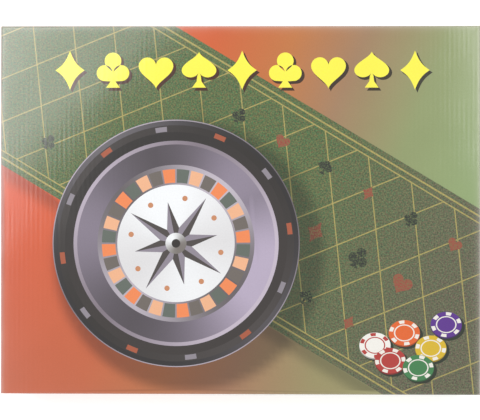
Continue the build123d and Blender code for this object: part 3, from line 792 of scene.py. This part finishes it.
class CasePrint(bpy.types.PropertyGroup):
    """Inks and layout of the lid's picture."""

    ground_left: swatch("Ground left", "#DA552E", "of the orange red")
    ground_inner_left: swatch("Ground inner left", "#CE5F2F")
    ground_upper: swatch("Ground upper", "#BF753F")
    ground_middle: swatch("Ground middle", "#A07E5E")
    ground_inner_right: swatch("Ground inner right", "#8F9A69")
    ground_right: swatch("Ground right", "#8FA571", "of the olive green")
    ground_dusk: swatch("Ground at dusk", "#B06A52", "of what the lower left fades to")
    # Pale creased edges: partly rubbed wear, partly a painted highlight on the creases.
    rubbed: swatch("Rubbed edges", "#E8E0DA", "of the paper where the creases have rubbed")
    gloss: FloatProperty(name="Varnish roughness", description="Roughness of the gloss film", default=0.1, min=0, max=1)
    felt: swatch("Band", "#5A6A3F", "of the lattice band")
    felt_far: swatch("Band's far end", "#65644B", "of what it turns to at the lower right")
    felt_shadow: swatch("Band in shadow", "#262F21", "of the counters' shadows on the band")
    line: swatch("Lines", "#B9A862", "of the band's lines")
    pip_red: swatch("Red pips", "#9C4F3C")
    pip_dark: swatch("Dark pips", "#2B2F28")
    head: swatch("Head pips", "#FBF24E", "of the row of pips")
    band_turn: FloatProperty(name="Band turn", description="Slope of the band, in degrees", default=-31.0)
    band_x: size("Band x", 8.0, "A point of its middle,")
    band_y: size("Band y", 12.0, "A point of its middle,")
    band_width: size("Band width", 150.0)
    lattice: size("Lattice pitch", 36.0)
    medal_x: size("Medallion x", -46.0)
    medal_y: size("Medallion y", -24.0)
    medal_radius: size("Medallion radius", 89.0)
    head_y: size("Head row y", 100.5)
    head_size: size("Head pip size", 25.0)
    head_step: size("Head row pitch", 31.0)
    head_count: IntProperty(name="Head pips", description="How many", default=9)


class CaseBoard(bpy.types.PropertyGroup):
    """E-flute board."""

    flute_pitch: size("Flute pitch", 3.4, "From flute to flute,")
    liner: size("Liner", 0.24, "Drawn thickness of a liner,")
    crease: size("Crease", 1.2, "Outside radius of a creased edge,")
    kraft: swatch("Kraft", "#B08F63")
    kraft_dark: swatch("Kraft fibres", "#95744B")
    kraft_light: swatch("Kraft highlights", "#C4A67A")
    cut: swatch("Cut paper", "#BFA177")
    # The flutes' open hollows at a cut edge: a painted shade.
    hollow: swatch("Flute hollow", "#4A3622")


class CaseSet(bpy.types.PropertyGroup):
    """The roulette set's mouldings, metals, inks and felt."""

    black: swatch("Black styrene", "#141313", "of the bowl and the rotor")
    rake: swatch("Rake styrene", "#1B1A1A")
    silver: swatch("Metallised styrene", "#B2B5BA", "of the rotor's middle and the frets")
    warm_silver: swatch("Metallised turret", "#D2C6AE")
    dark_silver: swatch("Metallised deflectors", "#6C7074")
    steel: swatch("Turned steel", "#B9BABD", "of the spindle")
    ball: swatch("Polished steel", "#C9CBCF", "of the balls")
    nylon: swatch("Nylon", "#E4E0D2", "of the bush and the washer")
    clear: swatch("Clear styrene", "#EAF1F4", "of the rack and its cover")
    foil_red: swatch("Foil red", "#D9592F")
    foil_black: swatch("Foil black", "#2B2726")
    foil_green: swatch("Foil green", "#2F8A52")
    foil_line: swatch("Foil lines", "#DED3C4", "of the rings along the numbers")
    figures: swatch("Figures", "#F4F2EC")
    figure_height: size("Figure height", 7.6, "Type size of the numbers,")
    purple: swatch("Purple counters", "#4F2A92")
    orange: swatch("Orange counters", "#E2622A")
    yellow: swatch("Yellow counters", "#EDB52A")
    white: swatch("White counters", "#E6E3DB")
    red: swatch("Red counters", "#CF3A2C")
    green: swatch("Green counters", "#1E8A4C")
    counters: IntProperty(name="Counters in a roll", description="How many", default=12)
    wool: swatch("Felt", "#1F5636")
    wool_dark: swatch("Felt shade", "#163D27")
    wool_light: swatch("Felt fibres", "#3A7550")
    grid: swatch("Cloth lines", "#D9C873")
    felt_thickness: size("Felt thickness", 1.15, "One layer,")


class CaseStage(bpy.types.PropertyGroup):
    """Camera and lamps."""

    distance: FloatProperty(name="Camera distance", description="Above the lid", default=1.2, unit="LENGTH")
    frame_width: FloatProperty(
        name="Frame width", description="What the frame spans on the lid", default=0.34503, unit="LENGTH"
    )
    world: FloatProperty(name="World strength", description="Level of the plain surround", default=0.4)
    key: lamp("Left strip", 5.0)
    rim: lamp("Outer left strip", 2.4)
    fill: lamp("Right strip", 3.4)
    low: lamp("Lower left strip", 0.7)
    top: lamp("Top lamp", 3.5)


# ---------------------------------------------------------------- operators
class MakeCarton(bpy.types.Operator):
    """Gives the carton's panels their board, print and cut edges."""

    bl_idname = "case.make_carton"
    bl_label = "Carton board"

    def execute(self, context):
        back, side = box("back_wall")[1][1], box("right_wall")[1][0]
        uprights = (  # node, material, the axis and the place of its outer face, and how deep the print wraps round it
            ("front_wall", "front_wall_board", 1, FRONT, 0.3),
            ("back_wall", "back_wall_board", 1, back, 0.3),
            ("left_wall", "left_wall_board", 0, -side, 0.1),
            ("right_wall", "right_wall_board", 0, side, 0.1),
            ("lid_front_skirt", "front_skirt_board", 1, -HALF_WIDTH, 0.02),
            ("lid_left_skirt", "left_skirt_board", 0, -HALF_LENGTH, 0.02),
            ("lid_right_skirt", "right_skirt_board", 0, HALF_LENGTH, 0.02),
        )
        sides = [(0, side, 0.5), (0, -side, 0.5), (1, FRONT, 0.5), (1, back, 0.5)]
        dress({
            "floor_panel": corrugated_board("floor_board", sides),
            "lid_panel": corrugated_board("lid_board", [(2, TOP, BOARD - 0.02)]),
            "insert_platform": corrugated_board("platform_board", edge=window_edge),
        } | {
            name: corrugated_board(board, [(axis, face, depth)], level_edge(face, tabs=axis == 1))
            for name, board, axis, face, depth in uprights
        })
        return {"FINISHED"}


class MakeLidPrint(bpy.types.Operator):
    """Lays the printed sheet over the lid and its rolled edges."""

    bl_idname = "case.make_lid_print"
    bl_label = "Lid print"

    def execute(self, context):
        art, crease = context.scene.case_print, context.scene.case_board.crease
        radius, step = crease + LIFT, 4.5  # of its folds, and between the points of its net
        half = np.array([HALF_LENGTH, HALF_WIDTH]) + LIFT
        edge = half - radius + radius * pi / 2
        hinge = half[1] - radius  # the sheet folds over the other three edges, and the crease strip takes it on here
        motifs = picture(art)
        rim = np.array([(-edge[0], -edge[1]), (edge[0], -edge[1]), (edge[0], hinge), (-edge[0], hinge)])
        outlines = [rim] + [outline for outline, *_ in motifs]
        ends_at = np.cumsum([len(outline) for outline in outlines])
        loops = np.split(np.arange(ends_at[-1]), ends_at[:-1])
        # Fold lines along the rolled edges, and a net of points that carries the soft shading.
        folds = [half - radius - 0.3, *(half - radius + radius * pi / 2 * k / 4 for k in range(4))]
        lines = [[(s * f[0], -edge[1]), (s * f[0], hinge)] for f in folds for s in (-1, 1)]
        lines += [[(-edge[0], -f[1]), (edge[0], -f[1])] for f in folds]
        ends = np.array(lines).reshape(-1, 2)
        net = np.stack(np.meshgrid(*(np.arange(-e + step / 2, e, step) for e in half - radius)), -1).reshape(-1, 2)
        loops = [np.stack([loop, np.roll(loop, -1)], -1) for loop in loops]
        edges = np.vstack([*loops, np.arange(len(ends)).reshape(-1, 2) + ends_at[-1]])
        everything = np.vstack([*outlines, ends, net])
        coords, _, triangles, *_ = delaunay_2d_cdt(everything.tolist(), edges.tolist(), [], 0, 1e-4, False)
        flat, triangles = np.array([tuple(c) for c in coords]), np.array(triangles)
        middle = flat[triangles].mean(1)
        triangles = triangles[(np.abs(middle) < edge).all(1) & (middle[:, 1] < hinge)]
        used, triangles = np.unique(triangles, return_inverse=True)
        flat, triangles = flat[used], triangles.reshape(-1, 3)
        owner = np.repeat(top_motif(motifs, flat[triangles].mean(1)), 3)
        inks, felt = ink_at(motifs, owner, *flat[triangles].reshape(-1, 2).T, art)
        (x, drop_x), (y, drop_y) = (roll(flat[:, k], half[k], radius) for k in (0, 1))
        sheet = piece(
            "lid_print", np.stack([x, y, TOP + LIFT - np.maximum(drop_x, drop_y)], -1), triangles, "lid",
            varnished_print("varnished_litho_print"), "printed_board", colours=inks, felt=felt, sharp_rim=True,
        )
        thicken(sheet, "paper", PAPER, -1)
        return {"FINISHED"}


class MakeCrease(bpy.types.Operator):
    """Folds the outer liner over the hinge between the back wall and the lid."""

    bl_idname = "case.make_crease"
    bl_label = "Hinge crease"

    def execute(self, context):
        art, r = context.scene.case_print, context.scene.case_board.crease
        # Up the back wall, round an arc of the crease's radius, and onto the lid; then back, a paper's depth below.
        t = np.linspace(0, pi / 2, 9)
        over, under = (
            np.vstack([
                (HALF_WIDTH + lift, WALL_TOP - 4.0),
                np.stack([HALF_WIDTH - r + (r + lift) * np.cos(t), TOP - r + (r + lift) * np.sin(t)], -1),
            ])
            for lift in (LIFT, LIFT - PAPER)
        )
        path = np.vstack([over, under[::-1]])
        x = np.linspace(-HALF_LENGTH + 0.5, HALF_LENGTH - 0.5, 560)
        rows, columns = len(path), len(x)
        points = np.stack(np.broadcast_arrays(x, *path.T[:, :, None]), -1).reshape(-1, 3)
        sides = quads(rows, columns, round_rows=True)
        ends = [list(range(0, rows * columns, columns))[::-1], list(range(columns - 1, rows * columns, columns))]
        # The picture runs on over the arc, and stops where the back wall starts.
        band, column = np.divmod(np.arange(len(sides)), columns - 1)
        round_arc = (band >= 1) & (band <= len(t))
        along = (x[column] + x[column + 1]) / 2
        across = HALF_WIDTH - r + r * (pi / 2 - t[np.clip(band - 1, 0, len(t) - 1)])
        motifs = picture(art)
        inks, felt = ink_at(motifs, top_motif(motifs, np.stack([along, across], -1)), along, across, art)
        inks = np.vstack([np.repeat(inks * round_arc[:, None], 4, axis=0), np.zeros((2 * rows, 4))])
        felt = np.hstack([np.repeat(felt * round_arc, 4), np.zeros(2 * rows)])
        strip = piece(
            "hinge_crease", points, sides.tolist() + ends, None, varnished_print("creased_litho_print"),
            "printed_board", colours=inks, felt=felt,
        )
        start, end = (0, HALF_WIDTH * MM, WALL_TOP * MM), (0, (HALF_WIDTH - 1) * MM, TOP * MM)
        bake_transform(strip)
        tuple(start)
        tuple(end)
        return {"FINISHED"}


class MakeCloth(bpy.types.Operator):
    """Folds the printed playing cloth in three under the insert."""

    bl_idname = "case.make_cloth"
    bl_label = "Playing cloth"

    def execute(self, context):
        low, high = box("folded_cloth")
        layers, thickness = 3, context.scene.case_set.felt_thickness
        pitch = (high[2] - low[2]) / layers
        margin = (pitch + thickness) / 2
        run = np.linspace(low[1] + margin, high[1] - margin, 60)
        a = np.linspace(-pi / 2, pi / 2, 9)[1:-1]
        # Each layer runs straight, then turns over in a half circle: y = y0 +- r cos a, z = z0 + r + r sin a.
        # Ripples of 0.08 mm cross it: sin(x / 23) sin(y / 17).
        path = []
        for k in range(layers):
            way = 1 if k % 2 == 0 else -1
            level = low[2] + (k + 0.5) * pitch
            path.append(np.stack([run[::way], np.full(len(run), level)], -1))
            if k < layers - 1:
                y = run[::way][-1] + way * pitch / 2 * np.cos(a)
                path.append(np.stack([y, level + pitch / 2 + pitch / 2 * np.sin(a)], -1))
        path = np.vstack(path)
        x = np.linspace(low[0] + 0.3, high[0] - 0.3, 72)
        y, z = path[:, :1], path[:, 1:] + 0.08 * np.sin(x / 23.0) * np.sin(path[:, :1] / 17.0)
        points = np.stack(np.broadcast_arrays(x, y, z), -1).reshape(-1, 3)
        felt = printed_felt("printed_wool_felt")
        cloth = piece("playing_cloth", points, quads(len(path), len(x)), "root", felt, "felt", ["folded_cloth"])
        thicken(cloth, "felt", thickness, 0)
        return {"FINISHED"}


class MakeBowl(bpy.types.Operator):
    """Turns the wheel's bowl, with its rolled bead, and sets the deflectors on its apron."""

    bl_idname = "case.make_bowl"
    bl_label = "Wheel bowl"

    def execute(self, context):
        case = context.scene.case_set
        profile = rounded((  # bead, band, lip, skirt, then the inside of the shell
            (109.0, 47.5, 2.0), (110.6, 44.9, 1.5), (127.0, 34.0, 1.2), (127.0, 31.0, 0.6), (124.6, 31.0, 0.5),
            (101.0, 0.0, 0.6), (98.24, 0.0, 0.6), (121.8, 31.0, 1.5), (121.8, 34.8, 1.2), (107.8, 44.1, 1.0),
            (97.9, 19.9, 1.5), (73.7, 13.3, 0.8), (73.7, 5.8, 0.8), (3.02, 5.8, 0.01), (3.02, 11.5, 0.01),
            (9.0, 11.5, 0.5), (9.0, 8.0, 0.6), (71.5, 8.0, 1.0), (71.5, 15.0, 0.8), (95.5, 21.5, 6.0),
            (105.4, 44.9, 1.6), (107.0, 47.5, 2.0),
        ))
        black = moulded_styrene("moulded_black_styrene", case.black)
        piece("bowl_moulding", *lathe(profile, WHEEL, 160), "root", black, "black_plastic", ["wheel_bowl"])

        # Each deflector is a faceted lozenge on the apron's cone: a rim that leans in to a raised flat.
        foot, rise, circle = 71.5, 6.5 / 24.0, 83.5  # the cone's foot and slope, and the radius they lie at
        lozenge = np.array([(3.5, 0, 0), (0, 6.0, 0), (-3.5, 0, 0), (0, -6.0, 0)])
        layers = ((0.9, -0.3), (1.0, 0.1), (1.0, 0.5), (0.8, 1.25), (0.4, 1.45))  # its share and height
        points = np.vstack([lozenge * share + (0, 0, height) for share, height in layers])
        faces = quads(len(layers), 4, round_columns=True)[:, ::-1].tolist() + [[3, 2, 1, 0], [16, 17, 18, 19]]
        c, s = np.cos(np.arctan(rise)), np.sin(np.arctan(rise))
        points = points @ np.array([[c, 0, s], [0, 1, 0], [-s, 0, c]])
        points += (circle, 0, 15.0 + (circle - foot) * rise + 0.1)
        made = [(points @ turning(pi / 3 * (k + 0.5)) + WHEEL, faces) for k in range(6)]
        silver = bright_metal("metallised_deflectors", case.dark_silver, 0.26)
        piece("deflector_lozenges", *joined(made), "root", silver, "silver", ["deflectors"], smooth=False)
        return {"FINISHED"}


class MakeRotor(bpy.types.Operator):
    """Turns the rotor, prints its number foil and sets the figures."""

    bl_idname = "case.make_rotor"
    bl_label = "Rotor and numbers"

    def execute(self, context):
        case = context.scene.case_set
        profile = rounded((
            (69.8, 14.6, 0.6), (55.5, 14.6, 0.5), (54.8, 10.4, 1.2), (38.8, 10.4, 0.8), (38.8, 11.6, 0.8),
            (11.0, 20.0, 1.5), (4.57, 20.0, 0.01), (4.57, 12.4, 0.01), (10.0, 12.4, 0.2), (10.0, 8.6, 0.2),
            (57.3, 8.6, 0.6), (57.3, 12.8, 0.6), (69.8, 12.8, 0.4),
        ))
        look = two_tone_rotor("metallised_rotor", WHEEL, case.black, case.silver, 55.3, 9.5)
        piece("rotor_moulding", *lathe(profile, WHEEL, 148), "rotor", look, "black_plastic", ["rotor_disc"])

        # The foil is a ring of 37 fields between two pale lines: (r cos a, r sin a) on a grid of radii and angles.
        (*_, low), (*_, high) = box("number_ring")
        inner, outer, steps = 56.0, 69.3, 6  # its radii, and the faces across each field
        count = len(WHEEL_ORDER) * steps
        radii = np.array([inner, inner, inner + 0.5, inner + 0.95, outer - 0.95, outer - 0.5, outer, outer])
        heights = np.array([low, *[high + 0.02] * 6, low]) - WHEEL[2]
        points, faces = lathe(np.stack([radii, heights], -1)[::-1], WHEEL, count)
        band, step = np.divmod(np.arange(len(radii) * count), count)
        number = np.array(WHEEL_ORDER)[step // steps, None]
        where = [np.isin(band, (2, 4))[:, None], number == 0, np.isin(number, RED_NUMBERS)]
        colour = np.select(where, [case.foil_line, case.foil_green, case.foil_red], case.foil_black)
        colours = np.repeat(np.hstack([colour, np.ones((len(colour), 1))]), 4, axis=0)
        foil, look = (points, faces), printed_foil("printed_number_foil")
        piece("number_foil", *foil, "rotor", look, "number_foil", ["number_ring"], smooth=False, colours=colours)

        # The figures stand with their heads to the rim, each in the middle of its field.
        made = []
        for k, number in enumerate(WHEEL_ORDER):
            text = bpy.data.curves.new("figure", "FONT")
            text.body, text.size, text.extrude, text.resolution_u = str(number), case.figure_height, 0.02, 3
            text.align_x, text.align_y = "CENTER", "CENTER"
            mesh = bpy.data.meshes.new_from_object(bpy.data.objects.new("figure", text))
            weld = bmesh.new()
            weld.from_mesh(mesh)
            bmesh.ops.remove_doubles(weld, verts=weld.verts, dist=0.01)
            for _ in range(2):
                bmesh.ops.dissolve_degenerate(weld, edges=weld.edges, dist=0.001)
            weld.to_mesh(mesh)
            weld.free()
            points = np.zeros(len(mesh.vertices) * 3)
            mesh.vertices.foreach_get("co", points)
            points = points.reshape(-1, 3) * (0.82, 1.0, 1.0) + (0, (inner + outer) / 2 - 0.3, 0)
            points = points @ turning(2 * pi * (k + 0.5) / len(WHEEL_ORDER) - pi / 2)
            made.append((points + (*WHEEL[:2], high + 0.045), [list(f.vertices) for f in mesh.polygons]))
            bpy.data.curves.remove(text)  # its object goes with it
            bpy.data.meshes.remove(mesh)
        white = screened_ink("screened_white_ink", case.figures)
        piece("number_figures", *joined(made), "rotor", white, "number_foil", smooth=False)

        nylon = moulded_nylon("natural_nylon", case.nylon)
        dress({
            "fret_ring": bright_metal("metallised_frets", case.silver, 0.18),
            "spindle": bright_metal("turned_steel", case.steel, 0.3, 0.01, WHEEL),
            "rotor_bush": nylon,
            "thrust_washer": nylon,
        })
        return {"FINISHED"}


class MakeTurret(bpy.types.Operator):
    """Turns the turret's stem, hub, arms and finial."""

    bl_idname = "case.make_turret"
    bl_label = "Turret"

    def execute(self, context):
        silver = bright_metal("metallised_turret", context.scene.case_set.warm_silver, 0.1, peel=0.001)
        finish = "rotor", silver, "silver"
        stem = (
            (0, 23.7, 0), (3.05, 23.7, 0.1), (3.05, 20.0, 0.1), (10.0, 20.0, 0.3), (10.0, 21.0, 0.5), (8.2, 21.7, 0.6),
            (6.8, 22.4, 0.4), (6.8, 25.2, 0.8), (5.0, 26.4, 0.8), (3.6, 26.6, 0.4), (3.3, 28.0, 0.5), (3.6, 28.8, 0.2),
            (0, 28.8, 0),
        )
        hub = (0, 28.82, 0), (4.4, 28.82, 0.6), (5.6, 30.6, 1.2), (5.6, 33.4, 1.2), (4.4, 35.18, 0.6), (0, 35.18, 0)
        finial = (
            (0, 35.2, 0), (2.8, 35.2, 0.3), (2.2, 36.2, 0.4), (2.8, 36.9, 0.4), (4.6, 38.6, 2.2), (4.6, 42.0, 2.2),
            (2.6, 44.4, 1.2), (1.5, 45.4, 0.6), (1.5, 46.9, 0.8), (0, 47.0, 0),
        )
        # An arm is a rod that thins by a sixth, a bead, and a ball with a radius of 2.6 mm: (r sin a, l - r cos a).
        a = np.linspace(0.55, pi, 16)
        ball = np.stack([2.6 * np.sin(a), 36.4 - 2.6 * np.cos(a)], -1)
        ball[-1, 0] = 0
        rod = (0, 0), (1.5, 0), (1.5, 8.0), (1.25, 24.0), (1.25, 31.6), (1.9, 31.9), (1.9, 32.9), (1.3, 33.3)
        arm = np.vstack([rounded([(*corner, 0.25) for corner in rod], 4, closed=False), ball])
        arms = [lathe(arm, WHEEL + (0, 0, 32.0), 28, axis=pi / 4 + pi / 2 * k) for k in range(4)]
        stem, hub, finial = (
            lathe(rounded(rows, closed=False), WHEEL, count) for rows, count in ((stem, 64), (hub, 64), (finial, 56))
        )
        piece("turret_column", *stem, *finish, ["turret_stem"])
        piece("turret_cross", *joined([hub, *arms]), *finish, ["turret_arms"])
        piece("turret_knob", *finial, *finish, ["turret_finial"])
        return {"FINISHED"}


class MakeBalls(bpy.types.Operator):
    """Sets the two polished balls in their holes."""

    bl_idname = "case.make_balls"
    bl_label = "Balls"

    def execute(self, context):
        low, high = box("balls")
        x, _, z = (low + high) / 2
        radius = (high[2] - low[2]) / 2
        a = np.linspace(0, pi, 25)  # a ball is the half circle (r sin a, -r cos a), turned
        profile = np.stack([radius * np.sin(a), -radius * np.cos(a)], -1)
        profile[[0, -1], 0] = 0
        made = [lathe(profile, (x, y, z), 40) for y in (low[1] + radius, high[1] - radius)]
        steel = bright_metal("polished_steel", context.scene.case_set.ball, 0.08, peel=0.0)
        piece("steel_balls", *joined(made), "root", steel, "ball", ["balls"])
        return {"FINISHED"}


class MakeChips(bpy.types.Operator):
    """Stacks the counters of each colour, turned discs with worn edges, into their rolls."""

    bl_idname = "case.make_chips"
    bl_label = "Counters"

    def execute(self, context):
        case = context.scene.case_set
        gap, worn = 0.04, 0.3  # what lies between two counters, and what is worn off their edges
        for tone in ("purple", "orange", "yellow", "white", "red", "green"):
            low, high = box(f"chips_{tone}")
            x, _, z = (low + high) / 2
            r, thickness = (high[2] - low[2]) / 2, (high[1] - low[1]) / case.counters
            t = thickness - gap
            corners = (0, 0), (r - worn, 0), (r, 1.5 * worn), (r, t - 1.5 * worn), (r - worn, t), (0, t)
            profile = rounded([(*corner, worn) for corner in corners], 3, closed=False)
            starts = low[1] + gap / 2 + thickness * np.arange(case.counters)
            made = [lathe(profile, (x, y, z), 44, axis=pi / 2) for y in starts]
            look = moulded_counters(f"moulded_{tone}_styrene", (x, low[1], z), thickness, getattr(case, tone))
            piece(f"counters_{tone}", *joined(made), "rack", look, f"chip_{tone}", [f"chips_{tone}"])
        return {"FINISHED"}


class MakeRackAndRake(bpy.types.Operator):
    """Gives the rack, its cover and the rake their mouldings' finish."""

    bl_idname = "case.make_rack_and_rake"
    bl_label = "Rack and rake"

    def execute(self, context):
        clear = clear_styrene("clear_styrene", context.scene.case_set.clear)
        black = moulded_styrene("moulded_rake_styrene", context.scene.case_set.rake, 0.32, 0.01)
        dress({"rack_tray": clear, "rack_cover": clear, "rake_head": black, "rake_handle": black})
        return {"FINISHED"}


class MakeStage(bpy.types.Operator):
    """Floor, lamps, world and camera."""

    bl_idname = "case.make_stage"
    bl_label = "Stage"

    def execute(self, context):
        scene, stage = context.scene, context.scene.case_stage
        # Matt white that glows to the rays that show it: it comes out pale, and still takes the carton's shadow.
        paint = Tree(bpy.data.materials.new("pale_floor"))
        glow = paint("Emission", Color="#FFFFFF", Strength=seen(paint) * 0.53)
        paint("OutputMaterial", paint("AddShader", paint("BsdfDiffuse", Color="#FFFFFF"), glow))
        reach, depth = 4, -0.0004  # metres: it lies just below the carton's underside
        mesh = bpy.data.meshes.new("floor")
        corners = [(x, y, depth) for x, y in reach * np.array([(-1, -1), (1, -1), (1, 1), (-1, 1)])]
        mesh.from_pydata(corners, [], [(0, 1, 2, 3)])
        mesh.materials.append(paint.owner)
        floor = put("floor", mesh)

        target = (0, 0, 0.05)
        lamps = (  # name, then place, width and length in metres, watts, and turn in radians
            ("left_strip", (-0.33, 0.36, 1.25), 0.42, 0.8, stage.key, 0.665),
            ("outer_left_strip", (-0.385, 0.4, 1.25), 0.25, 0.8, stage.rim, 0.3),
            ("low_left_strip", (-0.495, -0.33, 1.25), 0.3, 0.7, stage.low, 0.0),
            ("right_strip", (0.425, 0.43, 1.25), 0.3, 0.75, stage.fill, -0.06),
            ("front_softbox", (0.1, -1.3, 0.9), 1.2, 0.8, stage.top, 0.0),
        )
        for name, place, width, length, watts, turn in lamps:
            light = bpy.data.lights.new(name, "AREA")
            light.shape, light.size, light.size_y, light.energy = "RECTANGLE", width, length, watts
            away = np.subtract(place, target)
            away /= np.linalg.norm(away)
            right = np.cross((np.sin(turn), np.cos(turn), 0), away)
            right /= np.linalg.norm(right)
            axes = np.stack([right, np.cross(away, right), away, place], 1)
            put(name, light).matrix_world = Matrix([*axes.tolist(), (0, 0, 0, 1)])

        # The surround is white to the rays that show it, and lights the case less than that.
        scene.world = bpy.data.worlds.new("studio")
        sky = Tree(scene.world)
        level = seen(sky) * (1 - stage.world) + stage.world
        sky("OutputWorld", sky("Background", Color="#FFFFFF", Strength=level))

        camera = put("camera", bpy.data.cameras.new("camera"))
        camera.data.sensor_width = 36.0
        camera.data.lens = camera.data.sensor_width * stage.distance / stage.frame_width
        camera.data.clip_end = 20
        # It stands a little to the right and looks back to the lid's middle, so the right side is a shade larger.
        lean, twist, off_x, off_y = 0.0205, 0.0009, 0.00005, 0.00006  # radians and metres
        height = TOP * MM + stage.distance * np.cos(lean)
        camera.location = (off_x + stage.distance * np.sin(lean), off_y, height)
        camera.rotation_euler = (0, lean, twist)
        scene.camera = camera
        scene.view_settings.view_transform = "Standard"
        return {"FINISHED"}


class CasePanel(bpy.types.Panel):
    """Lists the case's makers and settings."""

    bl_label = "Roulette set case"
    bl_idname = "VIEW3D_PT_case"
    bl_space_type = "VIEW_3D"
    bl_region_type = "UI"
    bl_category = "Case"

    def draw(self, context):
        for maker in MAKERS:
            self.layout.operator(maker.bl_idname)
        for group in GROUPS:
            settings = getattr(context.scene, group)
            for name in settings.bl_rna.properties.keys():
                if name not in ("rna_type", "name"):
                    self.layout.prop(settings, name)


GROUPS = {"case_print": CasePrint, "case_board": CaseBoard, "case_set": CaseSet, "case_stage": CaseStage}
MAKERS = (
    MakeCarton, MakeLidPrint, MakeCrease, MakeCloth, MakeBowl, MakeRotor, MakeTurret, MakeBalls, MakeChips,
    MakeRackAndRake, MakeStage,
)


def register():
    for made in (*GROUPS.values(), *MAKERS, CasePanel):
        bpy.utils.register_class(made)
    for name, group in GROUPS.items():
        setattr(bpy.types.Scene, name, PointerProperty(type=group))


def unregister():
    for name in GROUPS:
        delattr(bpy.types.Scene, name)
    for made in reversed((*GROUPS.values(), *MAKERS, CasePanel)):
        bpy.utils.unregister_class(made)


def main():
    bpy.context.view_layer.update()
    register()
    for maker in MAKERS:
        getattr(bpy.ops.case, maker.bl_idname.split(".")[1])()


if __name__ == "__main__":
    main()
